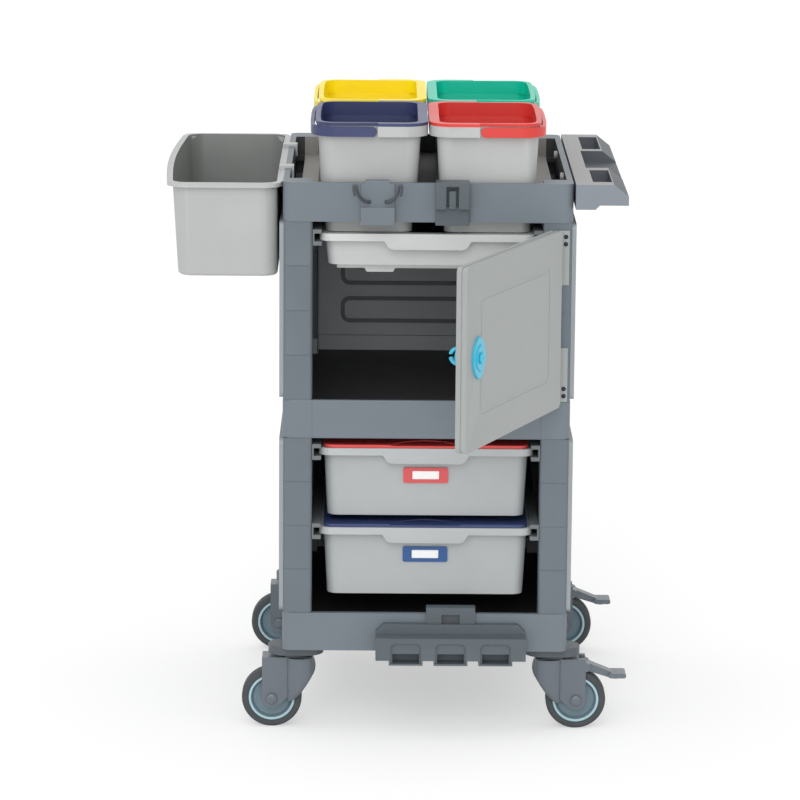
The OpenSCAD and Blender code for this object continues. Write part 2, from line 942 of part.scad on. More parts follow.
// Axle bolt with a round head at each end
module axle() {
    head_t = 3;
    color("silver")
        translate([trail, 0, wheel_r])
            rotate([90, 0, 0]) {
                cylinder(d = axle_d, h = fork_w + 2 * head_t, center = true);
                for (s = [-1, 1])
                    translate([0, 0, s * (fork_w / 2 + head_t / 2 + seat)])
                        cylinder(d = axle_d + 6, h = head_t, center = true);
            }
}

// Wheel centre with a raised boss, a dished web and a rim
module hub() {
    web = 5;
    boss_r = axle_d / 2 + 7;
    rim_r = hub_d / 2;
    half = tyre_w / 2;
    bore_r = axle_d / 2 + run_fit;
    color("#6e7783")
        translate([trail, 0, wheel_r])
            rotate([90, 0, 0])
                rotate_extrude()
                    polygon([
                        [bore_r, -half],
                        [boss_r, -half],
                        [boss_r + 2, -web],
                        [rim_r - 8, -web],
                        [rim_r - 5, -half + 2],
                        [rim_r, -half + 2],
                        [rim_r, half - 2],
                        [rim_r - 5, half - 2],
                        [rim_r - 8, web],
                        [boss_r + 2, web],
                        [boss_r, half],
                        [bore_r, half]
                    ]);
}

// Tyre with round shoulders, seated on the wheel centre
module tyre() {
    half = tyre_w / 2;
    inner_r = hub_d / 2 + glue_gap;
    round = (wheel_r - inner_r) / 2;
    color("#4b5052")
        translate([trail, 0, wheel_r])
            rotate([90, 0, 0])
                rotate_extrude() {
                    translate([inner_r, -half])
                        square([wheel_r - inner_r - round, tyre_w]);
                    translate([inner_r, -half + round])
                        square([wheel_r - inner_r, tyre_w - 2 * round]);
                    for (s = [-1, 1])
                        translate([wheel_r - round, s * (half - round)])
                            circle(round);
                }
}

// Foot pedal of a caster brake, with its pivot pin
module pedal() {
    arm_r = 5;
    pad_r = 4;
    pad_w = pedal_w + 14;
    knee_u = pedal_reach - 28;
    knee_z = ear_z - 14;
    lug_w = 7;
    lug_h = 9;
    color("#6c737e") {
        along_y(-pedal_w / 2, pedal_w)
            hull($fn = 32) {
                translate([ear_u, ear_z])
                    circle(ear_r - 1);
                translate([knee_u, knee_z])
                    circle(arm_r);
            }
        along_y(-pad_w / 2, pad_w)
            hull($fn = 32) {
                translate([knee_u + 2, knee_z - 1])
                    circle(pad_r);
                translate([pedal_reach - pad_r, knee_z - 1])
                    circle(pad_r);
            }
        along_y(-pedal_w / 4, pedal_w / 2)
            translate([knee_u + lug_w, knee_z - lug_h])
                square([lug_w, lug_h]);
        translate([ear_u, 0, ear_z])
            rotate([90, 0, 0])
                cylinder(d = pivot_d, h = fork_w, center = true);
    }
}

// Outside of a bucket below its rim band, with the seat ledge
module bucket_body() {
    low_w = body_w - 2 * ledge_draw - 2 * ledge_step;
    low_l = body_l - 2 * ledge_draw - 2 * ledge_step;
    low_draw = bucket_draw - ledge_draw;
    drawn_block(low_w, low_l, ledge_h + cut, low_draw, bucket_r - bucket_draw);
    translate([0, 0, ledge_h])
        drawn_block(body_w, body_l, body_h - ledge_h, ledge_draw, bucket_r - ledge_draw);
}

// Inside of a bucket, from its floor up
module bucket_hollow(wall) {
    w = body_w - 2 * wall;
    l = body_l - 2 * wall;
    low_w = w - 2 * ledge_draw - 2 * ledge_step;
    low_l = l - 2 * ledge_draw - 2 * ledge_step;
    r = bucket_r - wall;
    low_draw = bucket_draw - ledge_draw;
    translate([0, 0, wall])
        drawn_block(low_w, low_l, ledge_h, low_draw, r - bucket_draw);
    translate([0, 0, ledge_h + wall - cut])
        drawn_block(w, l, body_h - ledge_h - wall + cut, ledge_draw, r - ledge_draw);
    translate([0, 0, body_h - cut])
        linear_extrude(band_h + 2 * cut)
            round_rect(w, l, r);
}

// Part of the plane from a line across the buckets outwards to one side
module half_plane(side, start) {
    translate([side > 0 ? start : -start - 2 * bucket_w, -bucket_l])
        square([2 * bucket_w, 2 * bucket_l]);
}

// Grey bucket whose band runs round the half that the bail leaves bare
module bucket(side) {
    skirt_t = 3;
    flange_t = 3;
    boss_d = pivot_d + 6;
    boss_l = bail_in - seat;
    color(light_grey)
        difference() {
            union() {
                bucket_body();
                translate([0, 0, body_h])
                    linear_extrude(band_h) {
                        round_rect(body_w, body_l, bucket_r);
                        intersection() {
                            difference() {
                                round_rect(bucket_w, bucket_l, band_r);
                                round_rect(bucket_w - 2 * skirt_t, bucket_l - 2 * skirt_t, band_r - skirt_t);
                            }
                            half_plane(-side, bare_from);
                        }
                    }
                translate([0, 0, bucket_h - flange_t])
                    linear_extrude(flange_t)
                        intersection() {
                            round_rect(bucket_w, bucket_l, band_r);
                            half_plane(-side, bare_from);
                        }
                for (sy = [-1, 1])
                    translate([-side * pivot_in, sy * (body_l + boss_l - cut) / 2, bail_z - bucket_z])
                        rotate([90, 0, 0])
                            cylinder(d = boss_d, h = boss_l + cut, center = true);
            }
            bucket_hollow(bucket_wall);
            for (sy = [-1, 1])
                translate([-side * pivot_in, sy * body_l / 2, bail_z - bucket_z])
                    rotate([90, 0, 0])
                        cylinder(d = pivot_d + 2 * run_fit, h = 2 * bail_in + 2 * bucket_wall, center = true);
        }
}

// Coloured inner bucket with a broad lip over the grey rim
module liner(side, tint) {
    lip_over = 1;
    skin = bucket_wall + seat;
    mouth = skin + liner_wall;
    color(tint)
        difference() {
            union() {
                bucket_hollow(skin);
                translate([0, 0, bucket_h])
                    linear_extrude(lip_t) {
                        round_rect(body_w + 2 * lip_over, body_l + 2 * lip_over, bucket_r + lip_over);
                        intersection() {
                            round_rect(bucket_w, bucket_l, band_r);
                            half_plane(-side, bare_from);
                        }
                    }
                translate([0, 0, body_h])
                    linear_extrude(band_h)
                        round_rect(body_w - 2 * skin, body_l - 2 * skin, bucket_r - skin);
            }
            bucket_hollow(mouth);
            translate([0, 0, bucket_h - cut])
                linear_extrude(lip_t + 2 * cut)
                    round_rect(body_w - 2 * mouth, body_l - 2 * mouth, bucket_r - mouth);
        }
}

// Bail folded down round the outer half of the rim, with its pivot pins
module bail(side, tint) {
    color(tint)
        translate([0, 0, bail_z - bucket_z]) {
            translate([0, 0, -bail_h / 2])
                linear_extrude(bail_h)
                    difference() {
                        intersection() {
                            round_rect(bucket_w, bucket_l, band_r);
                            half_plane(side, -pivot_in);
                        }
                        round_rect(body_w + 2 * bail_in, body_l + 2 * bail_in, bucket_r + bail_in);
                    }
            for (sy = [-1, 1])
                translate([-side * pivot_in, 0, 0])
                    rotate([90, 0, 0]) {
                        translate([0, 0, sy * (bucket_l - bail_t) / 2])
                            cylinder(d = bail_h, h = bail_t, center = true);
                        translate([0, 0, sy * (body_l + band_out - bucket_wall) / 2])
                            cylinder(d = pivot_d, h = bucket_wall + band_out, center = true);
                    }
        }
}

// Puts a bucket's parts at one of the four places of the top deck
module at_bucket(sx, sy) {
    translate([sx * bucket_x, mid_y + sy * bucket_y, bucket_z])
        children();
}

// Open bin hung on the left rail by two hooks
module side_bin() {
    body_w = bin_w - 2 * bin_rim;
    body_l = bin_l - 2 * bin_rim;
    r = 24;
    skirt = 12;
    rim_t = 3;
    hook_x0 = bin_x + bin_w / 2 - bin_rim;
    color(light_grey) {
        translate([bin_x, mid_y, bin_z])
            difference() {
                union() {
                    drawn_block(body_w, body_l, bin_h, bin_draw, r);
                    translate([0, 0, bin_h - skirt])
                        linear_extrude(skirt)
                            difference() {
                                round_rect(bin_w, bin_l, r + bin_rim);
                                round_rect(bin_w - 2 * rim_t, bin_l - 2 * rim_t, r + bin_rim - rim_t);
                            }
                    translate([0, 0, bin_h - rim_t])
                        linear_extrude(rim_t)
                            round_rect(bin_w, bin_l, r + bin_rim);
                }
                translate([0, 0, bin_wall])
                    drawn_block(body_w - 2 * bin_wall, body_l - 2 * bin_wall, bin_h, bin_draw, r - bin_wall);
            }
        for (y = hook_y) {
            translate([hook_x0, y - hook_w / 2, top_top + seat])
                cube([bin_rim + rail_t + 2 * seat + hook_t, hook_w, hook_t]);
            translate([hook_x0, y - hook_w / 2, bin_top - rim_t])
                cube([bin_rim, hook_w, top_top - bin_top + rim_t + hook_t]);
            translate([-frame_w / 2 + rail_t + seat, y - hook_w / 2, top_top - finger_h])
                cube([hook_t, hook_w, finger_h + hook_t]);
        }
    }
}

// Swings what is drawn on the closed door to where the door stands
module on_door() {
    translate([hinge_x, hinge_y, 0])
        rotate([0, 0, door_open])
            translate([-hinge_x, -hinge_y, 0])
                children();
}

// Door with a sunk outer field, a seam round its edge and hinge knuckles
module door() {
    seam_w = 2;
    seam_t = 1;
    seam_end = 6;
    field_in = 52;
    field_t = 0.6;
    field_r = 12;
    field_w = 8;
    mid_x = (door_left + door_right) / 2;
    mid_h = door_z + door_h / 2;
    bore_d = hinge_pin_d + 2 * run_fit;
    color("#a7acaa")
        on_door()
            difference() {
                union() {
                    along_y(door_y, door_t)
                        translate([mid_x, mid_h])
                            round_rect(door_w, door_h, door_r);
                    for (z = hinge_z)
                        translate([0, 0, z]) {
                            translate([hinge_x, hinge_y, 0])
                                cylinder(d = knuckle_d, h = plate_l);
                            translate([door_right - cut, hinge_y - knuckle_d / 2, 0])
                                cube([hinge_x - door_right + cut, knuckle_d / 2, plate_l]);
                        }
                }
                along_y(door_y + door_t / 2 - seam_w / 2, seam_w)
                    translate([mid_x, mid_h])
                        difference() {
                            square([door_w + cut, door_h + cut], center = true);
                            round_rect(door_w - 2 * seam_t, door_h - 2 * seam_t, door_r);
                            translate([door_w / 2 - seam_end, -door_h])
                                square([2 * seam_end, 2 * door_h]);
                        }
                along_y(door_y - cut, cut + field_t)
                    translate([mid_x, mid_h])
                        difference() {
                            round_rect(door_w - 2 * field_in, door_h - 2 * field_in, field_r);
                            offset(delta = -field_w)
                                round_rect(door_w - 2 * field_in, door_h - 2 * field_in, field_r);
                        }
                for (z = hinge_z) {
                    translate([hinge_x, hinge_y, z - cut])
                        cylinder(d = bore_d, h = plate_l + 2 * cut);
                    translate([hinge_x, hinge_y, z + plate_l / 2 - knuckle_l / 2 - seat])
                        cylinder(d = knuckle_d + 2 * knuckle_gap, h = knuckle_l + 2 * seat);
                }
                translate([lock_x, 0, lock_z])
                    rotate([90, 0, 0])
                        cylinder(d = lock_d + 2 * run_fit, h = 4 * door_t, center = true);
            }
}

// Fixed halves of the two hinges, screwed to the post
module hinge_plates() {
    leaf_in = 6;
    hinge_leaf_w = 24;
    web_w = 8;
    knuckle_up = plate_l / 2 - knuckle_l / 2;
    color("#c8cbcb")
        for (z = hinge_z)
            difference() {
                union() {
                    translate([hinge_x - leaf_in, post_step - hinge_leaf_t, z])
                        cube([hinge_leaf_w, hinge_leaf_t, plate_l]);
                    translate([hinge_x - web_w / 2, hinge_y, z + knuckle_up])
                        cube([web_w, post_step - hinge_y, knuckle_l]);
                    translate([hinge_x, hinge_y, z + knuckle_up])
                        cylinder(d = knuckle_d, h = knuckle_l);
                }
                translate([hinge_x, hinge_y, z])
                    cylinder(d = hinge_pin_d, h = plate_l);
            }
}

// Two screws on each hinge plate, towards the end away from the other hinge
module hinge_screws() {
    head_d = 8;
    head_t = 2;
    screw_out = 12;
    screw_end = 10;
    screw_pitch = 12;
    color("silver")
        for (z = [hinge_z[0] + screw_end, hinge_z[1] + plate_l - screw_end - screw_pitch], k = [0, 1])
            translate([hinge_x + screw_out, post_step - hinge_leaf_t, z + k * screw_pitch])
                rotate([90, 0, 0])
                    cylinder(d1 = head_d, d2 = head_d / 2, h = head_t);
}

module hinge_pins() {
    color("silver")
        for (z = hinge_z)
            translate([hinge_x, hinge_y, z + cut])
                cylinder(d = hinge_pin_d, h = plate_l - 2 * cut);
}

// Outline with two pointed ends, the overlap of two circles
module leaf(w, h) {
    r = (h * h / 4 + w * w / 4) / w;
    intersection() {
        translate([r - w / 2, 0])
            circle(r);
        translate([-r + w / 2, 0])
            circle(r);
    }
}

// Leaf-shaped plate with a raised crown round the knob
module lock_plate() {
    screw_d = 4;
    crown_in = 14;
    color(cyan)
        on_door()
            difference() {
                translate([lock_x, 0, lock_z]) {
                    along_y(door_y - lock_plate_t, lock_plate_t)
                        leaf(leaf_w, leaf_h, $fn = 96);
                    along_y(door_y - lock_plate_t - crown_t, crown_t + cut)
                        leaf(leaf_w - crown_in, leaf_h - 2 * crown_in, $fn = 96);
                }
                translate([lock_x, 0, lock_z])
                    rotate([90, 0, 0])
                        cylinder(d = lock_d + 2 * run_fit, h = 4 * door_t, center = true);
                for (s = [-1, 1])
                    translate([lock_x, door_y - lock_plate_t - cut, lock_z + s * (leaf_h / 2 - crown_in)])
                        rotate([-90, 0, 0])
                            cylinder(d = screw_d, h = 2 * cut);
            }
}

// Turn knob with a key slot and the shaft through the door
module lock_knob() {
    knob_d = 18;
    knob_h = 4;
    key_w = 2;
    key_h = 8;
    key_t = 2;
    knob_y = door_y - lock_plate_t - crown_t - seat;
    color(cyan)
        on_door()
            difference() {
                translate([lock_x, 0, lock_z])
                    rotate([90, 0, 0]) {
                        translate([0, 0, -knob_y])
                            cylinder(d = knob_d, h = knob_h);
                        translate([0, 0, -cam_y - cam_t])
                            cylinder(d = lock_d, h = cam_y + cam_t - knob_y);
                    }
                translate([lock_x - key_w / 2, knob_y - knob_h - cut, lock_z - key_h / 2])
                    cube([key_w, key_t + cut, key_h]);
            }
}

// Latch arm on the lock's shaft, standing upright when unlocked, with a finger bow inside the door
module latch_cam() {
    tip_w = 9;
    bow_r = 15;
    bow_wall = 5;
    bow_t = 6;
    color(cyan)
        on_door()
            difference() {
                union() {
                    along_y(cam_y, cam_t)
                        translate([lock_x, lock_z]) {
                            circle(bow_r);
                            translate([-tip_w / 2, 0])
                                square([tip_w, cam_l - tip_w / 2]);
                            translate([0, cam_l - tip_w / 2])
                                circle(d = tip_w);
                        }
                    translate([lock_x, cam_y + cam_t, lock_z])
                        rotate([90, 0, 90])
                            linear_extrude(bow_t, center = true)
                                difference() {
                                    circle(bow_r);
                                    circle(bow_r - bow_wall);
                                    translate([-2 * bow_r - cut, -bow_r])
                                        square(2 * bow_r);
                                }
                }
                translate([lock_x, 0, lock_z])
                    rotate([90, 0, 0])
                        cylinder(d = lock_d, h = 4 * door_t, center = true);
            }
}

// Lower edge of the front rim, with the finger pull hanging from it
module pull_outline() {
    slope = 7;
    end_x = rim_half - 16;
    polygon([
        [-end_x, 0],
        [end_x, 0],
        [end_x, -rim_h],
        [pull_w / 2 + slope, -rim_h],
        [pull_w / 2, -pull_drop + 3],
        [pull_w / 2 - slope, -pull_drop],
        [-pull_w / 2 + slope, -pull_drop],
        [-pull_w / 2, -pull_drop + 3],
        [-pull_w / 2 - slope, -rim_h],
        [-end_x, -rim_h]
    ]);
}

// Tapered drawer with a rolled rim and a finger pull, its rim top at z = 0
module drawer_tub(h) {
    r = 18;
    pull_t = 4;
    w = 2 * body_half;
    l = drawer_l - rim_w - pull_gap;
    y = drawer_front + pull_gap + l / 2;
    color(light_grey)
        difference() {
            union() {
                translate([0, y, -h])
                    drawn_block(w, l, h, drawer_draw, r);
                translate([0, drawer_front + drawer_l / 2, -rim_h])
                    linear_extrude(rim_h)
                        difference() {
                            round_rect(2 * rim_half, drawer_l, r);
                            round_rect(2 * rim_half - 2 * pull_t, drawer_l - 2 * pull_t, r - pull_t);
                        }
                translate([0, drawer_front + drawer_l / 2, -pull_t])
                    linear_extrude(pull_t)
                        round_rect(2 * rim_half, drawer_l, r);
                along_y(drawer_front, pull_t)
                    pull_outline();
            }
            translate([0, y, -h + drawer_wall])
                drawn_block(w - 2 * drawer_wall, l - 2 * drawer_wall, h, drawer_draw, r - drawer_wall);
        }
}

module shallow_tray() {
    translate([0, 0, tray_rim])
        drawer_tub(tray_h);
}

module red_drawer() {
    translate([0, 0, red_rim])
        drawer_tub(drawer_h);
}

module blue_drawer() {
    translate([0, 0, blue_rim])
        drawer_tub(drawer_h);
}

// Flat lid on a drawer's rim with a sunk finger arch at the front
module drawer_lid(tint) {
    side_in = 8;
    end_in = 2;
    r = 16;
    field_in = 20;
    field_r = 12;
    field_front = 85;
    w = 2 * rim_half - 2 * side_in;
    l = drawer_l - 2 * end_in;
    y0 = drawer_front + end_in;
    arch_w = 118;
    arch_d = 38;
    arch_r = (arch_w * arch_w / 4 + arch_d * arch_d) / (2 * arch_d);
    sunk = 1.5;
    color(tint)
        difference() {
            translate([0, y0 + l / 2, lid_z])
                linear_extrude(lid_t)
                    round_rect(w, l, r);
            translate([0, y0 + arch_d - arch_r, lid_z + lid_t - sunk])
                cylinder(r = arch_r, h = sunk + cut);
            translate([0, y0 + (l + field_front - field_in) / 2, lid_z + lid_t - sunk])
                linear_extrude(sunk + cut)
                    round_rect(w - 2 * field_in, l - field_front - field_in, field_r);
        }
}

module red_lid() {
    translate([0, 0, red_rim])
        drawer_lid("#7f3135");
}

module blue_lid() {
    translate([0, 0, blue_rim])
        drawer_lid("#424b62");
}

// Label frame on a drawer's sloping front wall
module label_holder(tint) {
    r = 3;
    window_w = 46;
    window_h = 15;
    window_r = 1.5;
    back_t = 1;
    drop = 48;
    lean = atan(drawer_draw / drawer_h);
    face_y = drawer_front + pull_gap + drawer_draw * drop / drawer_h;
    color(tint)
        translate([0, face_y, -drop])
            rotate([lean, 0, 0])
                difference() {
                    along_y(-label_t, label_t)
                        round_rect(label_w, label_h, r);
                    along_y(-label_t - cut, label_t - back_t + cut)
                        round_rect(window_w, window_h, window_r);
                }
}

module red_label_holder() {
    translate([0, 0, red_rim])
        label_holder("#d46b68");
}

module blue_label_holder() {
    translate([0, 0, blue_rim])
        label_holder("#3e6593");
}

translate([-origin_x, -origin_y, 0]) {
    base_deck();
    lower_posts();
    mid_shelf();
    upper_posts();
    top_frame();
    upper_back_panel();
    lower_back_panel();
    upper_side_panels();
    lower_side_panels();
    drawer_runners();
    mop_clip();
    tool_hook();
    tool_rack();
    push_handle();
    caster_sockets();
    hinge_plates();
    hinge_screws();
    hinge_pins();
    side_bin();
    door();
    lock_plate();
    lock_knob();
    latch_cam();
    shallow_tray();
    red_drawer();
    red_label_holder();
    red_lid();
    blue_drawer();
    blue_label_holder();
    blue_lid();
    at_bucket(-1, -1) bucket(-1);  // bucket_front_left
    at_bucket(1, -1) bucket(1);  // bucket_front_right
    at_bucket(-1, 1) bucket(-1);  // bucket_back_left
    at_bucket(1, 1) bucket(1);  // bucket_back_right
    at_bucket(-1, -1) liner(-1, "#363c56");  // liner_front_left
    at_bucket(1, -1) liner(1, "#c4322b");  // liner_front_right
    at_bucket(-1, 1) liner(-1, "#f9da15");  // liner_back_left
    at_bucket(1, 1) liner(1, "#00b196");  // liner_back_right
    at_bucket(-1, -1) bail(-1, "#58607d");  // bail_front_left
    at_bucket(1, -1) bail(1, "#e15550");  // bail_front_right
    at_bucket(-1, 1) bail(-1, "#f9da15");  // bail_back_left
    at_bucket(1, 1) bail(1, "#00b196");  // bail_back_right
    at_caster(-1, -1) fork(false);  // fork_front_left
    at_caster(1, -1) fork(true);  // fork_front_right
    at_caster(-1, 1) fork(false);  // fork_back_left
    at_caster(1, 1) fork(true);  // fork_back_right
    at_caster(-1, -1) axle();  // axle_front_left
    at_caster(1, -1) axle();  // axle_front_right
    at_caster(-1, 1) axle();  // axle_back_left
    at_caster(1, 1) axle();  // axle_back_right
    at_caster(-1, -1) hub();  // hub_front_left
    at_caster(1, -1) hub();  // hub_front_right
    at_caster(-1, 1) hub();  // hub_back_left
    at_caster(1, 1) hub();  // hub_back_right
    at_caster(-1, -1) tyre();  // tyre_front_left
    at_caster(1, -1) tyre();  // tyre_front_right
    at_caster(-1, 1) tyre();  // tyre_back_left
    at_caster(1, 1) tyre();  // tyre_back_right
    at_caster(1, -1) pedal();  // pedal_front_right
    at_caster(1, 1) pedal();  // pedal_back_right
}
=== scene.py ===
"""Looks of a janitor cart: moulded pieces, finishes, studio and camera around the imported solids."""
import json
import math

import bmesh
import bpy
from bpy.props import FloatProperty, FloatVectorProperty, PointerProperty
from mathutils import Matrix, Vector


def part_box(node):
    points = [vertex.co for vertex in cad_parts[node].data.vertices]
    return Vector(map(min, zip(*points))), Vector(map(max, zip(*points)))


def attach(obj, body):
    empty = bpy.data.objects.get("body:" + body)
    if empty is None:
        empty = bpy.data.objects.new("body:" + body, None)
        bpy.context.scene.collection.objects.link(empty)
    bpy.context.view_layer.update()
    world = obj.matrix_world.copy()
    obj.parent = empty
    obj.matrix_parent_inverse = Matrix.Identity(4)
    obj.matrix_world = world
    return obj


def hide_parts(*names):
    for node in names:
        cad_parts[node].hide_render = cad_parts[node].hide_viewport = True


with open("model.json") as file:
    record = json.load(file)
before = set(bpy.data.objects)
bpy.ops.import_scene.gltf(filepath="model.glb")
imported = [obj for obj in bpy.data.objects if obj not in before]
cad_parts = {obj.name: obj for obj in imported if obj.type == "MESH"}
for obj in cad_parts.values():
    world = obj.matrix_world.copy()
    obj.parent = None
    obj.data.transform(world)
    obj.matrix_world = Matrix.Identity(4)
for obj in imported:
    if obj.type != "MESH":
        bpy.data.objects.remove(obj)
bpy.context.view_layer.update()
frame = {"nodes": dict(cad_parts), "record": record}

bl_info = {
    "name": "Janitor cart",
    "version": (1, 0, 0),
    "blender": (4, 5, 0),
    "location": "View3D > Sidebar > Cart",
    "description": "Dresses the cart's solids with moulded pieces and finishes",
    "category": "Object",
}

MM = 0.001
PLACES = ("front_left", "front_right", "back_left", "back_right")
SIDES = ((-1, "front"), (1, "back"))
BODY_OF = {n: body for body, nodes in frame["record"]["behaviour"]["bodies"].items() for n in nodes}
WHITE = (1.0, 1.0, 1.0, 1.0)

# A face looks along an axis when its normal has more than this share of it.
FACING = 0.9
# How far from a plane a face or a corner may lie and still count as on it.
NEAR = 1 * MM
# Corners of a solid that are nearer than this are one point.
WELD = 0.02 * MM
# Faces that turn less than this lie in one plane.
FLAT = math.radians(0.6)
# Edges that turn more than this are rounded.
SHARP = math.radians(32)


def linear(text):
    """Scene-linear RGBA of an sRGB hex colour."""
    parts = [int(text[i:i + 2], 16) / 255 for i in (1, 3, 5)]
    return (*((c / 12.92 if c <= 0.04045 else ((c + 0.055) / 1.055) ** 2.4) for c in parts), 1.0)


def number(name, description, value):
    """A plain number that a user may change."""
    return FloatProperty(name=name, description=description, default=value)


def size(name, description, millimetres):
    """A length that a user may change."""
    return FloatProperty(name=name, description=description, default=millimetres * MM, unit="LENGTH")


def angle(name, description, degrees):
    """An angle that a user may change."""
    return FloatProperty(name=name, description=description, default=math.radians(degrees), subtype="ANGLE")


def hue(name, description, text):
    """A colour that a user may change, from sRGB hex."""
    return FloatVectorProperty(
        name=name, description=description, default=linear(text), subtype="COLOR", size=4, min=0, max=1)


def direction(name, description, source):
    """A direction that a user may change."""
    return FloatVectorProperty(name=name, description=description, default=source, subtype="DIRECTION")


class CartSizes(bpy.types.PropertyGroup):
    """Sizes that the dressing adds to the solids."""
    rail_edge: size("Rail edge", "Radius on decks and push handle", 2.5)
    post_edge: size("Post edge", "Radius on the posts' moulded lines", 0.4)
    rail_width: size("Rail width", "Thickness of the rails' walls", 10)
    floor_drop: size("Floor drop", "Depth of a floor below its deck's spigots", 47)
    panel_edge: size("Panel edge", "Radius on side panels and door", 1.6)
    bead_edge: size("Bead edge", "Radius on back panels and their beads", 0.3)
    tub_edge: size("Tub edge", "Radius on tray, drawers, buckets and bin", 1.4)
    fitting_edge: size("Fitting edge", "Radius on clips, rack, bails, hinges and runners", 1.2)
    lid_edge: size("Lid edge", "Radius on lids and lock parts", 0.8)
    label_edge: size("Label edge", "Radius on label holders", 0.5)
    liner_edge: size("Liner edge", "Radius on liners, wheel centres and tyres", 1.0)
    caster_edge: size("Caster edge", "Radius on forks, sockets and pedals", 2.0)
    metal_edge: size("Metal edge", "Radius on pins, axles and screws", 0.5)
    card_width: size("Card width", "Width of a label card", 44)
    card_height: size("Card height", "Height of a label card", 14)
    card_thick: size("Card thickness", "Thickness of a label card", 0.4)
    trim_corner: size("Trim corner", "Corner radius of label cards and panel lips", 1)
    card_inset: size("Card inset", "Depth of a card behind its holder's middle", 0.3)
    skid_length: size("Skid length", "Length of the rib under the tray", 296)
    skid_drop: size("Skid drop", "Depth of the rib under the tray", 9)
    skid_thick: size("Skid thickness", "Thickness of the rib under the tray", 3)
    skid_tab: size("Skid tab", "Width of a tab on the tray's rib", 50)
    skid_slant: size("Skid slant", "Run of a tab's slanted ends", 3)
    skid_pitch: size("Skid pitch", "Spacing of the two tabs", 156)
    skid_back: size("Skid back", "From the tray's front to the rib", 42)
    seam_reach: size("Seam reach", "From the middle to the rails' joint lines", 187.5)
    seam_width: size("Seam width", "Width of the rails' joint lines", 1.4)
    strip_reach: size("Strip reach", "From the middle to the top deck's strips", 197)
    strip_width: size("Strip width", "Width of the top deck's strips", 28)
    bin_bow: size("Bin bow", "Swell of the bin's outer wall", 11.5)
    bin_straight: size("Bin upright", "Draft taken out of the bin's inner wall", 12)
    bin_skirt_cut: size("Bin skirt cut", "Height taken off the bin's skirt", 4.5)
    bin_mouth: size("Bin mouth", "Widening of the bin's mouth", 2.6)
    bin_foot: size("Bin foot", "Radius round the bin's underside", 6)
    band_out: size("Band out", "Width of the band round a bucket's rim", 12)
    bucket_corner: size("Bucket corner", "Corner radius of a bucket", 24)
    bucket_pull: size("Bucket pull", "Inward draw of a bucket's outer corners", 9)
    lip_wider: size("Lip wider", "Widening of a liner's lip towards the bail", 3)
    foot_drop: size("Foot drop", "Height of the foot under a bucket", 4.6)
    lip_height: size("Lip height", "Height of the lips at the side panels' ends", 9)
    lip_short: size("Lip shortening", "How much shorter a lip is than its panel", 110)
    lip_in: size("Lip inset", "From a panel's face to its lip", 9)
    lip_thick: size("Lip thickness", "Thickness of a lip", 3)
    jaw_out: size("Jaw out", "Reach of a mop jaw to its side", 34)
    jaw_rise: size("Jaw rise", "Height of a jaw over its root", 29)
    jaw_depth: size("Jaw depth", "Reach of a jaw to the front", 28)
    jaw_rod: size("Jaw rod", "Radius of a jaw", 3.0)
    jaw_curl: size("Jaw curl", "Radius of the curl at a jaw's tip", 2.6)
    label_lean: angle("Label lean", "Lean of the drawers' front walls", 2.94)
    trail: size("Trail", "From a caster's swivel to its axle", 40)
    fork_half: size("Fork half width", "From a fork's middle to a cheek", 20.5)
    column_middle: size("Column place", "From the swivel to a column's middle", -6.5)
    column_half: size("Column half width", "Half width of a fork's column", 20.5)
    column_out: size("Column depth", "How far a column stands out", 11.5)
    column_short: size("Column short side", "Column's height away from the wheel", 33)
    column_long: size("Column long side", "Column's height at the wheel", 76)
    column_gap: size("Column gap", "Gap between a column and the socket over it", 0.6)
    ring_width: size("Wheel ring", "Width of a wheel's ring", 5.0)
    ring_out: size("Ring place", "From a wheel's middle to the back of its ring", 12.9)


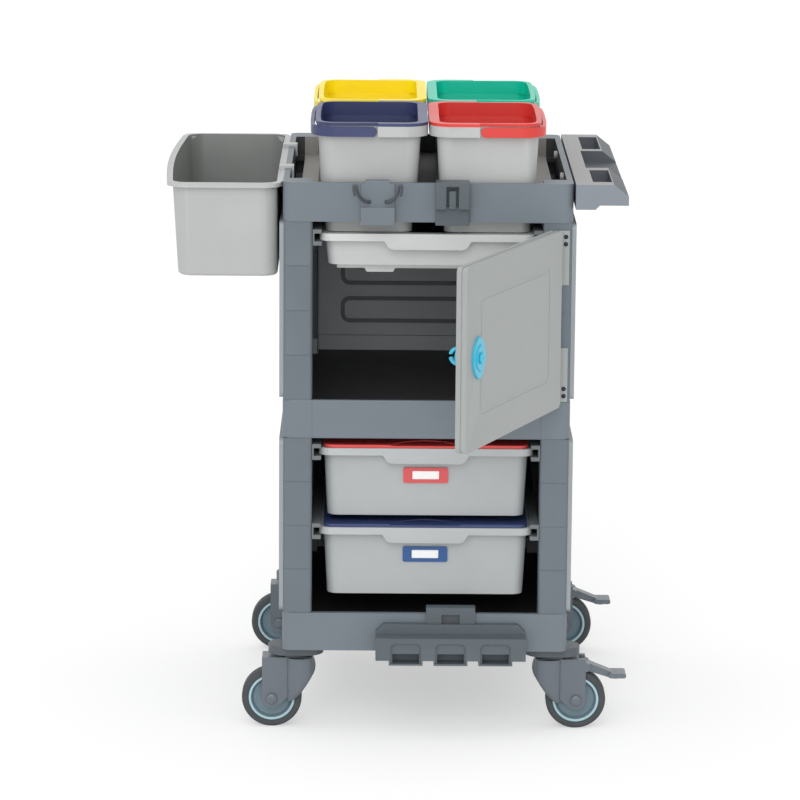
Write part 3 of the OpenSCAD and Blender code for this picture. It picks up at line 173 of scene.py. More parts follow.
class CartColours(bpy.types.PropertyGroup):
    """Colours of the cart's plastics, rubber and steel."""
    slate: hue("Slate", "Decks and mop clip", "#6e777f")
    post: hue("Post grey", "Posts", "#656e76")
    side: hue("Side grey", "Side panels and the backs of the back panels", "#959b9e")
    runner: hue("Runner grey", "Drawer runners", "#6a6f72")
    light: hue("Light grey", "Buckets, bin and the handle's saddle", "#b2b4b3")
    tray: hue("Tray grey", "Shallow tray", "#c6c8c7")
    drawer: hue("Drawer grey", "Drawers", "#adb1b2")
    door: hue("Door grey", "Door and hinge plates", "#9fa3a2")
    # Painted light: much paler than the side grey on the panels' backs, standing in for light inside the
    # shaded compartments.
    back: hue("Back grey", "Inner faces of the back panels and back rails", "#b9bcc1")
    # Painted shade: the beads' front faces are darker for the shade along them.
    bead: hue("Bead grey", "Beads on the back panels", "#6e6f72")
    mat: hue("Shelf black", "Shelf floors", "#343335")
    rack: hue("Rack grey", "Tool rack and hook", "#545d63")
    grip: hue("Handle grey", "Push handle", "#818890")
    # Painted light: the push handle's upper face is paler where light falls on it.
    grip_top: hue("Handle top", "Upper face of the push handle", "#9d9d9d")
    # Painted shade: the outward and sloped faces at the handle's end are darker.
    grip_end: hue("Handle end", "Outer faces of the push handle", "#454c53")
    cyan: hue("Cyan", "Lock parts", "#3fb9d6")
    ring: hue("Ring blue", "Wheel rings", "#a4c1c9")
    # Painted shade: the top deck's plate and inner rail walls are dark for the shade there and for the dark
    # slots along the rails.
    well: hue("Well grey", "Inside of the top deck", "#343536")
    strip: hue("Strip grey", "Pale strips beside the buckets", "#97938f")
    # Painted shade: the bin's inside is a darker grey for the shade within it.
    bin_inside: hue("Bin inside", "Inner faces of the side bin", "#808381")
    # The mop jaws' own dark grey, also used as painted shade in the hand openings and the rack's window.
    grip_dark: hue("Handle dark", "Hand openings, mop jaws and rack window", "#4d5258")
    yellow: hue("Yellow", "Back left bucket", "#ffe20e")
    green: hue("Green", "Back right bucket", "#02c1a2")
    navy: hue("Navy", "Front left bucket", "#353d66")
    red: hue("Red", "Front right bucket", "#d63b34")
    lid_red: hue("Red lid", "Upper drawer's lid", "#e04b49")
    lid_blue: hue("Blue lid", "Lower drawer's lid", "#364470")
    label_red: hue("Red label", "Upper drawer's label holder", "#d55557")
    label_blue: hue("Blue label", "Lower drawer's label holder", "#2b5590")
    caster: hue("Caster grey", "Forks, axle caps and pedals", "#636b73")
    steel: hue("Zinc", "Pins and axles", "#b5b8bb")
    screw: hue("Screw black", "Hinge screws", "#3a3c3f")
    socket: hue("Socket grey", "Caster sockets", "#50575d")
    hub: hue("Wheel grey", "Wheel centres", "#6f848e")
    tyre: hue("Tyre", "Tyres", "#45494b")


class CartStudio(bpy.types.PropertyGroup):
    """Light and camera."""
    sky: number("Sky", "Strength of the even light all round", 0.72)
    sun: number("Key", "Strength of the soft key light", 0.76)
    sun_from: direction("Key from", "Where the key light comes from", (-0.1, -0.8, 0.55))
    sun_spread: angle("Key spread", "Angle that the key light fills", 32)
    top: number("Top light", "Strength of the soft light from above", 0.45)
    top_from: direction("Top from", "Where the top light comes from", (-0.1, -0.15, 1.0))
    top_spread: angle("Top spread", "Angle that the top light fills", 60)
    fill: number("Fill", "Strength of the light from the camera's side", 0.32)
    fill_from: direction("Fill from", "Where the fill light comes from", (0.0, -1.0, 0.16))
    fill_spread: angle("Fill spread", "Angle that the fill light fills", 24)
    floor_lift: number("Floor lift", "Share of white in the floor that the camera sees", 0.42)
    floor_glow: number("Floor glow", "Brightness of that white", 1.1)
    floor_half: size("Floor", "Half the floor's width", 40000)
    camera_at: FloatVectorProperty(
        name="Camera", description="Where the camera stands", default=(-0.02735, -6.42905, 1.897),
        subtype="TRANSLATION", unit="LENGTH")
    pitch: angle("Pitch", "Camera's tilt down", 11.87)
    yaw: angle("Yaw", "Camera's turn to the right", 0.24)
    roll: angle("Roll", "Camera's lean", 0.45)
    lens: number("Lens", "Focal length in mm on a 36 mm frame", 177.8)


def add(mat, kind, values=None, links=None, **settings):
    """Add a shader node with its options, socket values and links."""
    made = mat.node_tree.nodes.new("ShaderNode" + kind)
    for key, value in settings.items():
        setattr(made, key, value)
    for key, value in (values or {}).items():
        made.inputs[key].default_value = value
    for key, socket in (links or {}).items():
        mat.node_tree.links.new(socket, made.inputs[key])
    return made


def shade(colour, factor):
    """A colour scaled in brightness."""
    return (*(min(1.0, c * factor) for c in colour[:3]), 1.0)


def blank(name, kind="materials"):
    """A material, or a world, with an empty node tree."""
    made = getattr(bpy.data, kind).new(name)
    made.use_nodes = True
    made.node_tree.nodes.clear()
    return made


def moulded(name, colour, roughness, grain_mm=1.8, depth_mm=0.05, coat=0.0, band=None):
    """Injection-moulded plastic.

    A spark-eroded mould leaves a fine grain that softens the shine. The melt's flow leaves faint cloudy
    mottling, and the outer edges are drawn a little paler. The real grain is about 0.3 mm, too fine for the
    render, so it is drawn a few times coarser. A band is a second colour in two strips of one half width, at
    one distance in X from a middle.
    """
    cloud_mm = 70
    mat = blank(name)
    place = add(mat, "TexCoord").outputs["Object"]
    grain = add(mat, "TexNoise", {"Scale": 1 / (grain_mm * MM), "Detail": 2.0}, {"Vector": place})
    cloud = add(mat, "TexNoise", {"Scale": 1 / (cloud_mm * MM), "Detail": 4.0, "Roughness": 0.6},
                {"Vector": place})
    tone = add(mat, "Mix", {6: shade(colour, 0.93), 7: shade(colour, 1.06)}, {0: cloud.outputs["Fac"]},
               data_type="RGBA")
    edge = add(mat, "MapRange", {"From Min": 0.52, "From Max": 0.62, "To Max": 0.22},
               {"Value": add(mat, "NewGeometry").outputs["Pointiness"]})
    edge_paled = add(mat, "Mix", {7: shade(colour, 1.5)}, {0: edge.outputs["Result"], 6: tone.outputs[2]},
               data_type="RGBA")
    if band:
        middle, reach, half, second = band
        across = add(mat, "SeparateXYZ", links={0: place}).outputs["X"]
        away = add(mat, "Math", {1: middle}, {0: across}, operation="SUBTRACT")
        away = add(mat, "Math", links={0: away.outputs[0]}, operation="ABSOLUTE")
        strip = add(mat, "Math", {1: reach, 2: half}, {0: away.outputs[0]}, operation="COMPARE")
        edge_paled = add(mat, "Mix", {7: second}, {0: strip.outputs[0], 6: edge_paled.outputs[2]}, data_type="RGBA")
    gloss = add(mat, "MapRange", {"To Min": roughness - 0.06, "To Max": roughness + 0.08},
                {"Value": cloud.outputs["Fac"]})
    relief = add(mat, "Bump", {"Strength": 0.35, "Distance": depth_mm * MM}, {"Height": grain.outputs["Fac"]})
    surface = add(mat, "BsdfPrincipled", {"IOR": 1.49, "Coat Weight": coat, "Coat Roughness": 0.25},
                  {"Base Color": edge_paled.outputs[2], "Roughness": gloss.outputs["Result"],
                   "Normal": relief.outputs["Normal"]})
    add(mat, "OutputMaterial", links={"Surface": surface.outputs["BSDF"]})
    return mat


def rubber(name, colour):
    """Thermoplastic rubber: a dull, dry surface with a dusty grain and almost no shine."""
    grain_mm, depth_mm, dust_mm = 2.2, 0.1, 18
    mat = blank(name)
    place = add(mat, "TexCoord").outputs["Object"]
    grain = add(mat, "TexNoise", {"Scale": 1 / (grain_mm * MM), "Detail": 4.0}, {"Vector": place})
    dust = add(mat, "TexNoise", {"Scale": 1 / (dust_mm * MM), "Detail": 3.0}, {"Vector": place})
    tone = add(mat, "Mix", {6: shade(colour, 0.85), 7: shade(colour, 1.2)}, {0: dust.outputs["Fac"]},
               data_type="RGBA")
    relief = add(mat, "Bump", {"Strength": 0.4, "Distance": depth_mm * MM}, {"Height": grain.outputs["Fac"]})
    surface = add(mat, "BsdfPrincipled", {"Roughness": 0.72, "IOR": 1.52, "Specular IOR Level": 0.35},
                  {"Base Color": tone.outputs[2], "Normal": relief.outputs["Normal"]})
    add(mat, "OutputMaterial", links={"Surface": surface.outputs["BSDF"]})
    return mat


def steel(name, dark, pale):
    """Plated steel: grey metal with fine drawn lines and slightly blotchy plating."""
    line_mm, blotch_mm = 0.8, 6
    mat = blank(name)
    place = add(mat, "TexCoord").outputs["Object"]
    along = add(mat, "Mapping", {"Scale": (1.0, 1.0, 0.05)}, {"Vector": place})
    lines = add(mat, "TexNoise", {"Scale": 1 / (line_mm * MM), "Detail": 2.0},
                {"Vector": along.outputs["Vector"]})
    blotch = add(mat, "TexNoise", {"Scale": 1 / (blotch_mm * MM), "Detail": 2.0}, {"Vector": place})
    tone = add(mat, "Mix", {6: dark, 7: pale}, {0: blotch.outputs["Fac"]}, data_type="RGBA")
    gloss = add(mat, "MapRange", {"To Min": 0.24, "To Max": 0.42}, {"Value": lines.outputs["Fac"]})
    surface = add(mat, "BsdfPrincipled", {"Metallic": 1.0},
                  {"Base Color": tone.outputs[2], "Roughness": gloss.outputs["Result"]})
    add(mat, "OutputMaterial", links={"Surface": surface.outputs["BSDF"]})
    return mat


def card(name):
    """White label card: uncoated paper with a soft fibre mottle."""
    fibre_mm = 1.5
    mat = blank(name)
    place = add(mat, "TexCoord").outputs["Object"]
    fibre = add(mat, "TexNoise", {"Scale": 1 / (fibre_mm * MM), "Detail": 5.0}, {"Vector": place})
    tone = add(mat, "Mix", {6: linear("#eceded"), 7: linear("#fbfbfa")}, {0: fibre.outputs["Fac"]},
               data_type="RGBA")
    surface = add(mat, "BsdfPrincipled", {"Roughness": 0.85, "IOR": 1.5}, {"Base Color": tone.outputs[2]})
    add(mat, "OutputMaterial", links={"Surface": surface.outputs["BSDF"]})
    return mat


# Roughness of each moulded plastic, by its colour.
ROUGHNESS = {
    "slate": 0.46, "post": 0.46, "side": 0.44, "runner": 0.44, "light": 0.40, "tray": 0.40, "drawer": 0.40,
    "door": 0.48, "back": 0.50, "bead": 0.50, "mat": 0.62, "rack": 0.44, "well": 0.55, "bin_inside": 0.30,
    "grip": 0.50, "grip_top": 0.52, "grip_end": 0.50, "grip_dark": 0.55, "lid_red": 0.38, "lid_blue": 0.38,
    "yellow": 0.34, "green": 0.34, "navy": 0.36, "red": 0.34, "cyan": 0.28, "ring": 0.30, "label_red": 0.30,
    "label_blue": 0.30, "caster": 0.34, "socket": 0.40, "hub": 0.42,
}
# Grain and clear coat where they differ from the usual.
SATIN, POLISHED = {"depth_mm": 0.02}, {"depth_mm": 0.01}
SURFACE = {
    "door": {"grain_mm": 2.2}, "mat": {"grain_mm": 4.0, "depth_mm": 0.4}, "bin_inside": SATIN,
    "yellow": SATIN, "green": SATIN, "navy": SATIN, "red": SATIN, "socket": SATIN,
    "caster": {**SATIN, "coat": 0.15}, "cyan": {**POLISHED, "coat": 0.2},
    "ring": POLISHED, "label_red": POLISHED, "label_blue": POLISHED,
}


def finish(name):
    """A finish by its name, made on first use."""
    if name in bpy.data.materials:
        return bpy.data.materials[name]
    colours = bpy.context.scene.cart_colours
    sizes = bpy.context.scene.cart_sizes
    if name == "paper_card":
        return card(name)
    if name == "rubber_tyre":
        return rubber(name, colours.tyre)
    if name == "zinc_plated_steel":
        return steel(name, shade(colours.steel, 0.87), shade(colours.steel, 1.2))
    if name == "blackened_steel":
        return steel(name, shade(colours.screw, 0.8), shade(colours.screw, 1.25))
    middle = centre_of("base_deck").x
    bands = {
        "polypropylene_slate_jointed": (
            middle, sizes.seam_reach, sizes.seam_width / 2, shade(colours.slate, 0.8)),
        "polypropylene_well": (middle, sizes.strip_reach, sizes.strip_width / 2, colours.strip),
    }
    tint = name.split("_", 1)[1].removesuffix("_jointed")
    surface = SURFACE.get(tint, {})
    return moulded(name, getattr(colours, tint), ROUGHNESS[tint], band=bands.get(name), **surface)


def settle(mesh, name, body, finish_name, stands_for=()):
    """Make a piece of a mesh: its finish, the body it rides on and the CAD nodes it stands for."""
    piece = bpy.data.objects.new(name, mesh)
    bpy.context.scene.collection.objects.link(piece)
    mesh.materials.append(finish(finish_name))
    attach(piece, body)
    if stands_for:
        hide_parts(*stands_for)
    return piece


def fitted(mesh, node, finish_name):
    """Make a piece of a mesh that goes with a CAD node, on its body."""
    return settle(mesh, mesh.name, BODY_OF[node], finish_name)


def meshed(bm, name, smooth=True):
    """Turn a working mesh into a named one."""
    mesh = bpy.data.meshes.new(name)
    bm.to_mesh(mesh)
    bm.free()
    if smooth:
        mesh.shade_smooth()
    return mesh


def rounded(piece, edge, steps=3):
    """Round every sharp edge of a piece."""
    bevel = piece.modifiers.new("rounded_edges", "BEVEL")
    bevel.width = edge
    bevel.segments = steps
    bevel.limit_method = "ANGLE"
    bevel.angle_limit = SHARP
    flat = piece.modifiers.new("flat_faces", "WEIGHTED_NORMAL")
    flat.mode = "FACE_AREA_WITH_ANGLE"
    flat.weight = 90
    flat.keep_sharp = True
    return piece


def flat_regions(bm):
    """Lists of joined faces that lie in one plane."""
    bm.faces.ensure_lookup_table()
    seen = set()
    for seed in bm.faces:
        if seed.index in seen:
            continue
        region, queue = [], [seed]
        seen.add(seed.index)
        while queue:
            face = queue.pop()
            region.append(face)
            for edge in face.edges:
                for other in edge.link_faces:
                    if other.index not in seen and other.normal.angle(seed.normal, math.pi) < FLAT:
                        seen.add(other.index)
                        queue.append(other)
        yield region


def inner_edges(region):
    """Edges inside a flat region, or none where its border is not one convex loop."""
    inside = set(region)
    edges = {e.index: e for f in region for e in f.edges}.values()
    border = [e for e in edges if sum(f in inside for f in e.link_faces) == 1]
    after = {}
    for edge in border:
        first, second = edge.verts
        after.setdefault(first, []).append(second)
        after.setdefault(second, []).append(first)
    if any(len(ends) != 2 for ends in after.values()):
        return []
    loop = [border[0].verts[0], border[0].verts[1]]
    while len(loop) <= len(border) and loop[-1] != loop[0]:
        ends = after[loop[-1]]
        loop.append(ends[0] if ends[1] == loop[-2] else ends[1])
    if len(loop) != len(border) + 1:
        return []
    normal = region[0].normal
    corners = zip(loop, loop[1:], loop[2:] + loop[1:2])
    turns = [(b.co - a.co).cross(c.co - b.co).dot(normal) for a, b, c in corners]
    slack = 1e-12
    return [e for e in edges if e not in border] if min(turns) > -slack or max(turns) < slack else []


def dressed(node, finish_name, edge, steps=3, shape=None):
    """Copy a CAD node's solid into a piece with whole flat faces, any change of shape, and round edges."""
    source = frame["nodes"][node]
    bm = bmesh.new()
    bm.from_mesh(source.data)
    bmesh.ops.transform(bm, matrix=source.matrix_world, verts=bm.verts)
    bmesh.ops.remove_doubles(bm, verts=bm.verts, dist=WELD)
    bm.normal_update()
    bm.edges.index_update()
    inner = [e for region in flat_regions(bm) if len(region) > 1 for e in inner_edges(region)]
    bmesh.ops.dissolve_edges(bm, edges=inner)
    if shape:
        shape(bm)
    name = "moulded_" + node
    piece = settle(meshed(bm, name), name, BODY_OF[node], finish_name, [node])
    return rounded(piece, edge, steps)


def paint(piece, finish_name, test):
    """Give a second finish to the faces of a piece whose centre and normal pass a test."""
    piece.data.materials.append(finish(finish_name))
    index = len(piece.data.materials) - 1
    for face in piece.data.polygons:
        if test(face.center, face.normal):
            face.material_index = index


def round_outline(w, h, corner, steps=5):
    """Points round a rectangle with round corners."""
    points = []
    for sx, sz, start in ((1, 1, 0), (-1, 1, 90), (-1, -1, 180), (1, -1, 270)):
        x, z = sx * (w / 2 - corner), sz * (h / 2 - corner)
        for k in range(steps + 1):
            a = math.radians(start + 90 * k / steps)
            points.append((x + corner * math.cos(a), z + corner * math.sin(a)))
    return points


def slab(name, outline, thick, place):
    """A mesh of a flat plate with an outline in X and Z, moved by a matrix."""
    bm = bmesh.new()
    rings = [[bm.verts.new((x, y, z)) for x, z in outline] for y in (-thick / 2, thick / 2)]
    bm.faces.new(rings[0])
    bm.faces.new(reversed(rings[1]))
    for k in range(len(outline)):
        j = (k + 1) % len(outline)
        bm.faces.new((rings[0][j], rings[0][k], rings[1][k], rings[1][j]))
    bmesh.ops.recalc_face_normals(bm, faces=bm.faces)
    bmesh.ops.transform(bm, matrix=place, verts=bm.verts)
    return meshed(bm, name, smooth=False)


def swept(name, path, radii, steps=12):
    """A mesh of a round rod along a path, with a radius and a closed end at each end point."""
    bm = bmesh.new()
    rings = []
    side = Vector((0, 1, 0))
    for k, point in enumerate(path):
        along = (path[min(k + 1, len(path) - 1)] - path[max(k - 1, 0)]).normalized()
        side = (side - along * side.dot(along)).normalized()
        up = along.cross(side)
        turns = [2 * math.pi * i / steps for i in range(steps)]
        spokes = [side * math.cos(a) + up * math.sin(a) for a in turns]
        rings.append([bm.verts.new(point + radii[k] * spoke) for spoke in spokes])
    for here, after in zip(rings, rings[1:]):
        for i in range(steps):
            j = (i + 1) % steps
            bm.faces.new((here[i], here[j], after[j], after[i]))
    bm.faces.new(rings[0])
    bm.faces.new(rings[-1])
    bmesh.ops.recalc_face_normals(bm, faces=bm.faces)
    return meshed(bm, name)


def turned(name, profile, centre, axis, steps=72):
    """A mesh lathed from (radius, along) points about an axis through a centre."""
    turn = Vector((0, 0, 1)).rotation_difference(Vector(axis)).to_matrix().to_4x4()
    bm = bmesh.new()
    rings = []
    for k in range(steps):
        a = 2 * math.pi * k / steps
        rings.append([bm.verts.new((r * math.cos(a), r * math.sin(a), h)) for r, h in profile])
    for k in range(steps):
        here, after = rings[k], rings[(k + 1) % steps]
        for i in range(len(profile)):
            j = (i + 1) % len(profile)
            if profile[i][0] + profile[j][0] > 0:
                bm.faces.new((here[i], after[i], after[j], here[j]))
    bmesh.ops.remove_doubles(bm, verts=bm.verts, dist=WELD / 20)
    bmesh.ops.recalc_face_normals(bm, faces=bm.faces)
    bmesh.ops.transform(bm, matrix=Matrix.Translation(centre) @ turn, verts=bm.verts)
    return meshed(bm, name)


def centre_of(node):
    """Middle of a node's box."""
    low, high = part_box(node)
    return (Vector(low) + Vector(high)) / 2


class CART_OT_frame(bpy.types.Operator):
    """Decks and posts of the frame"""
    bl_idname = "cart.frame"
    bl_label = "Frame"

    def execute(self, context):
        sizes = context.scene.cart_sizes
        for node in ("lower_posts", "upper_posts"):
            dressed(node, "polypropylene_post", sizes.post_edge)
        for node, coat in (("base_deck", "slate"), ("mid_shelf", "slate_jointed")):
            piece = dressed(node, "polypropylene_" + coat, sizes.rail_edge)
            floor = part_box(node)[1][2] - sizes.floor_drop
            rail_top = floor + 26 * MM
            middle = centre_of(node)

            def on_floor(c, n):
                return n.z > FACING and abs(c.z - floor) < 2 * NEAR

            def in_back_rail(c, n):
                return floor < c.z < rail_top and n.y < -FACING and c.y > middle.y

            paint(piece, "polypropylene_mat", on_floor)
            # Painted light: the back rails' inner faces take the paler back grey.
            paint(piece, "polypropylene_back", in_back_rail)
        piece = dressed("top_frame", "polypropylene_slate", sizes.rail_edge)
        low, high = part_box("top_frame")
        reach = (high[0] - low[0]) / 2 - sizes.rail_width + NEAR
        middle = centre_of("top_frame")
        rim = high[2] - NEAR

        # Painted shade: the top deck's plate and inner walls take the dark finish, with pale strips of plate
        # beside the buckets.
        def in_deck_shade(c, n):
            return abs(c.x - middle.x) < reach and c.z < rim and (n.z > FACING or n.dot(middle - c) > 0)

        paint(piece, "polypropylene_well", in_deck_shade)
        return {"FINISHED"}


class CART_OT_panels(bpy.types.Operator):
    """Back and side panels"""
    bl_idname = "cart.panels"
    bl_label = "Panels"

    def execute(self, context):
        sizes = context.scene.cart_sizes
        for node in ("upper_back_panel", "lower_back_panel"):
            # Painted light: the panels' inner faces keep the paler back grey; their backs take the side grey.
            piece = dressed(node, "polypropylene_back", sizes.bead_edge, steps=2)
            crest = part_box(node)[0][1] + 2 * NEAR
            # Painted shade: the beads' front faces take the darker bead grey.
            paint(piece, "polypropylene_bead", lambda c, n: c.y < crest)
            paint(piece, "polypropylene_side", lambda c, n: n.y > FACING)
        for node in ("upper_side_panels", "lower_side_panels"):
            dressed(node, "polypropylene_side", sizes.panel_edge)
            low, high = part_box(node)
            middle = centre_of(node)
            outline = round_outline(high[1] - low[1] - sizes.lip_short, sizes.lip_height, sizes.trim_corner)
            for side, x in (("left", low[0] + sizes.lip_in), ("right", high[0] - sizes.lip_in)):
                for level, z in (("low", low[2]), ("high", high[2])):
                    place = Matrix.Translation((x, middle.y, z)) @ Matrix.Rotation(math.pi / 2, 4, "Z")
                    mesh = slab(f"{node}_{side}_{level}_lip", outline, sizes.lip_thick, place)
                    fitted(mesh, node, "polypropylene_side")
        return {"FINISHED"}


class CART_OT_drawers(bpy.types.Operator):
    """Tray, drawers, lids, labels and runners"""
    bl_idname = "cart.drawers"
    bl_label = "Drawers"

    def execute(self, context):
        sizes = context.scene.cart_sizes
        dressed("drawer_runners", "polypropylene_runner", sizes.fitting_edge)
        dressed("shallow_tray", "polypropylene_tray", sizes.tub_edge)
        for node in ("red_drawer", "blue_drawer"):
            dressed(node, "polypropylene_drawer", sizes.tub_edge)
        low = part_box("shallow_tray")[0]
        half, tab, slant = sizes.skid_length / 2, sizes.skid_tab / 2, sizes.skid_slant
        sunk, drop, tab_drop = 2 * MM, sizes.skid_drop, 1.7 * sizes.skid_drop
        outline = [(half, sunk), (-half, sunk), (-half, -drop)]
        for x in (-sizes.skid_pitch / 2, sizes.skid_pitch / 2):
            outline += [(x - tab, -drop), (x - tab + slant, -tab_drop)]
            outline += [(x + tab - slant, -tab_drop), (x + tab, -drop)]
        outline.append((half, -drop))
        place = Matrix.Translation((centre_of("shallow_tray").x, low[1] + sizes.skid_back, low[2]))
        fitted(slab("tray_skid", outline, sizes.skid_thick, place), "shallow_tray", "polypropylene_tray")
        outline = round_outline(sizes.card_width, sizes.card_height, sizes.trim_corner)
        for tint in ("red", "blue"):
            dressed(f"{tint}_lid", f"polypropylene_lid_{tint}", sizes.lid_edge)
            holder = f"{tint}_label_holder"
            dressed(holder, f"abs_label_{tint}", sizes.label_edge)
            place = (Matrix.Translation(centre_of(holder)) @ Matrix.Rotation(sizes.label_lean, 4, "X")
                     @ Matrix.Translation((0, sizes.card_inset, 0)))
            fitted(slab(f"{tint}_label_card", outline, sizes.card_thick, place), holder, "paper_card")
        return {"FINISHED"}


class CART_OT_door(bpy.types.Operator):
    """Door, hinges and lock"""
    bl_idname = "cart.door"
    bl_label = "Door"

    def execute(self, context):
        sizes = context.scene.cart_sizes
        dressed("door", "polypropylene_door", sizes.panel_edge)
        dressed("hinge_plates", "polypropylene_door", sizes.fitting_edge)
        dressed("hinge_pins", "zinc_plated_steel", sizes.metal_edge)
        dressed("hinge_screws", "blackened_steel", sizes.metal_edge)
        for node in ("lock_plate", "lock_knob", "latch_cam"):
            dressed(node, "abs_cyan", sizes.lid_edge)
        return {"FINISHED"}


def cut_across(bm, middle, reach, cuts):
    """Cut a mesh across Y at even steps each side of a middle, so that its long sides can bend."""
    least = 0.05 * MM
    for k in range(cuts + 1):
        bmesh.ops.bisect_plane(bm, geom=[*bm.verts, *bm.edges, *bm.faces], dist=least,
                               plane_co=(0, middle + reach * (2 * k / cuts - 1), 0), plane_no=(0, 1, 0))
    bmesh.ops.dissolve_degenerate(bm, dist=least, edges=bm.edges)


def share(value):
    """A value held between 0 and 1."""
    return min(max(value, 0.0), 1.0)


class CART_OT_buckets(bpy.types.Operator):
    """Buckets with their coloured liners and bails"""
    bl_idname = "cart.buckets"
    bl_label = "Buckets"

    def execute(self, context):
        sizes = context.scene.cart_sizes
        tints = {"front_left": "navy", "front_right": "red", "back_left": "yellow", "back_right": "green"}
        end, cuts, pull_fade, pull_power = 44 * MM, 6, 50 * MM, 4
        for place in PLACES:
            side = 1 if place.endswith("right") else -1
            low, high = (Vector(v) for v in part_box("bucket_" + place))
            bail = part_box("bail_" + place)
            inner, outer = (low.x, bail[1][0]) if side > 0 else (high.x, bail[0][0])
            middle = Vector(((inner + outer) / 2, (low.y + high.y) / 2))
            half = Vector((abs(outer - inner) / 2, (high.y - low.y) / 2))
            body = half - Vector((1, 1)) * sizes.band_out
            lip = high.z - NEAR / 2
            pull_from = high.z - 67.5 * MM

            def rounder(bm):
                cut_across(bm, middle.y, half.y - end, cuts)
                for vert in bm.verts:
                    away = vert.co.xy - middle
                    corner = Vector((max(abs(away.x) - body.x + sizes.bucket_corner, 0),
                                     max(abs(away.y) - body.y + sizes.bucket_corner, 0)))
                    if vert.co.z > lip and side * away.x > 0 and corner.length > sizes.bucket_corner - NEAR:
                        vert.co.x += away.x * sizes.lip_wider / body.x
                        vert.co.y += away.y * sizes.lip_wider / body.y
                    # The outer corners are drawn in, by half at the foot and in full at the rim.
                    pull = sizes.bucket_pull * (1 + share((vert.co.z - pull_from) / pull_fade)) / 2
                    cornered = share(side * away.x / half.x) * share(abs(away.y) / half.y) ** pull_power
                    vert.co.x -= side * pull * cornered
                bm.normal_update()

            def footed(bm):
                floor = low.z + NEAR / 10
                base = [f for f in bm.faces if f.normal.z < -FACING and f.calc_center_median().z < floor]
                added = bmesh.ops.extrude_face_region(bm, geom=base)["geom"]
                bmesh.ops.delete(bm, geom=base, context="FACES_ONLY")
                for vert in added:
                    if isinstance(vert, bmesh.types.BMVert):
                        vert.co.z -= sizes.foot_drop
                rounder(bm)

            dressed("bucket_" + place, "polypropylene_light", sizes.tub_edge, shape=footed)
            dressed("liner_" + place, "polypropylene_" + tints[place], sizes.liner_edge, shape=rounder)
            dressed("bail_" + place, "polypropylene_" + tints[place], sizes.fitting_edge, shape=rounder)
        return {"FINISHED"}


class CART_OT_side_bin(bpy.types.Operator):
    """Bin on the left rail"""
    bl_idname = "cart.side_bin"
    bl_label = "Side bin"

    def execute(self, context):
        sizes = context.scene.cart_sizes
        low, high = (Vector(v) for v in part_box("side_bin"))
        length = high.y - low.y
        middle = (low + high) / 2
        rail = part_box("top_frame")[0][0]
        skirt = low.z + 144 * MM
        brim = low.z + 156 * MM
        mouth = Vector((low.x + 93.5 * MM, middle.y))
        wide, long = 88 * MM, length / 2 - 5.5 * MM
        end, cuts = 45 * MM, 11

        def bowed(bm):
            cut_across(bm, middle.y, length / 2 - end, cuts)
            for vert in bm.verts:
                at = vert.co
                outer = share((rail - at.x) / (rail - low.x))
                inner = share(1 - 2 * outer)
                depth = share((skirt - at.z) / (skirt - low.z))
                raised = sizes.bin_skirt_cut if abs(at.z - skirt) < NEAR / 2 else 0
                past = max(abs(at.x - mouth.x) - wide, abs(at.y - mouth.y) - long)
                if abs(at.z - brim) < NEAR / 2 and past < 0:
                    at.x += (at.x - mouth.x) * sizes.bin_mouth / wide
                    at.y += (at.y - mouth.y) * sizes.bin_mouth / long
                bow = sizes.bin_bow * math.sin(math.pi * share((at.y - low.y) / length))
                vert.co = (at.x + sizes.bin_straight * inner * depth - bow * outer, at.y, at.z + raised)
            bm.normal_update()
            under = []
            for edge in bm.edges:
                slopes = [f.normal.z for f in edge.link_faces]
                is_low = max(abs(v.co.z - low.z) for v in edge.verts) < NEAR / 2
                if is_low and min(slopes) < -FACING and max(slopes) > -FACING:
                    under.append(edge)
            bmesh.ops.bevel(bm, geom=under, offset=sizes.bin_foot, segments=4, profile=0.5, affect="EDGES")
            bm.normal_update()

        piece = dressed("side_bin", "polypropylene_light", sizes.tub_edge, shape=bowed)
        brim_depth = 12 * MM
        top = (high.z - low.z) / 2 - brim_depth

        # Painted shade: inner walls and floor below the brim take the darker grey.
        def inside(c, n):
            away = c - middle
            walls = n.xy.dot(away.xy) < 0 and abs(away.z) < top
            return (walls or n.z > FACING) and away.z < top

        paint(piece, "polypropylene_bin_inside", inside)
        return {"FINISHED"}


class CART_OT_push_handle(bpy.types.Operator):
    """Push handle on the right rail"""
    bl_idname = "cart.push_handle"
    bl_label = "Push handle"

    def execute(self, context):
        piece = dressed("push_handle", "polypropylene_grip", context.scene.cart_sizes.rail_edge)
        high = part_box("push_handle")[1]
        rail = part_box("top_frame")[1][0]
        middle = centre_of("push_handle").y
        opening_from, opening_to, opening_half = rail + 20 * MM, high[0] - 3 * MM, 270 * MM
        sill, end_from = high[2] - 5 * MM, high[0] - 40 * MM
        upright, outward = 0.2, 0.5

        # Painted shade: the walls and floors of the hand openings are dark.
        def in_openings(c, n):
            faces = abs(n.z) < upright or (n.z > FACING and c.z < sill)
            return faces and opening_from < c.x < opening_to and abs(c.y - middle) < opening_half

        # Painted light: the handle's top face takes a paler grey.
        paint(piece, "polypropylene_grip_top", lambda c, n: n.z > FACING and c.z > high[2] - 2 * NEAR)
        paint(piece, "polypropylene_grip_dark", in_openings)
        # Painted shade: the outward faces at the handle's end take a darker grey.
        paint(piece, "polypropylene_grip_end", lambda c, n: n.x > outward and c.x > end_from)
        paint(piece, "polypropylene_light", lambda c, n: c.x < rail + NEAR)
        return {"FINISHED"}


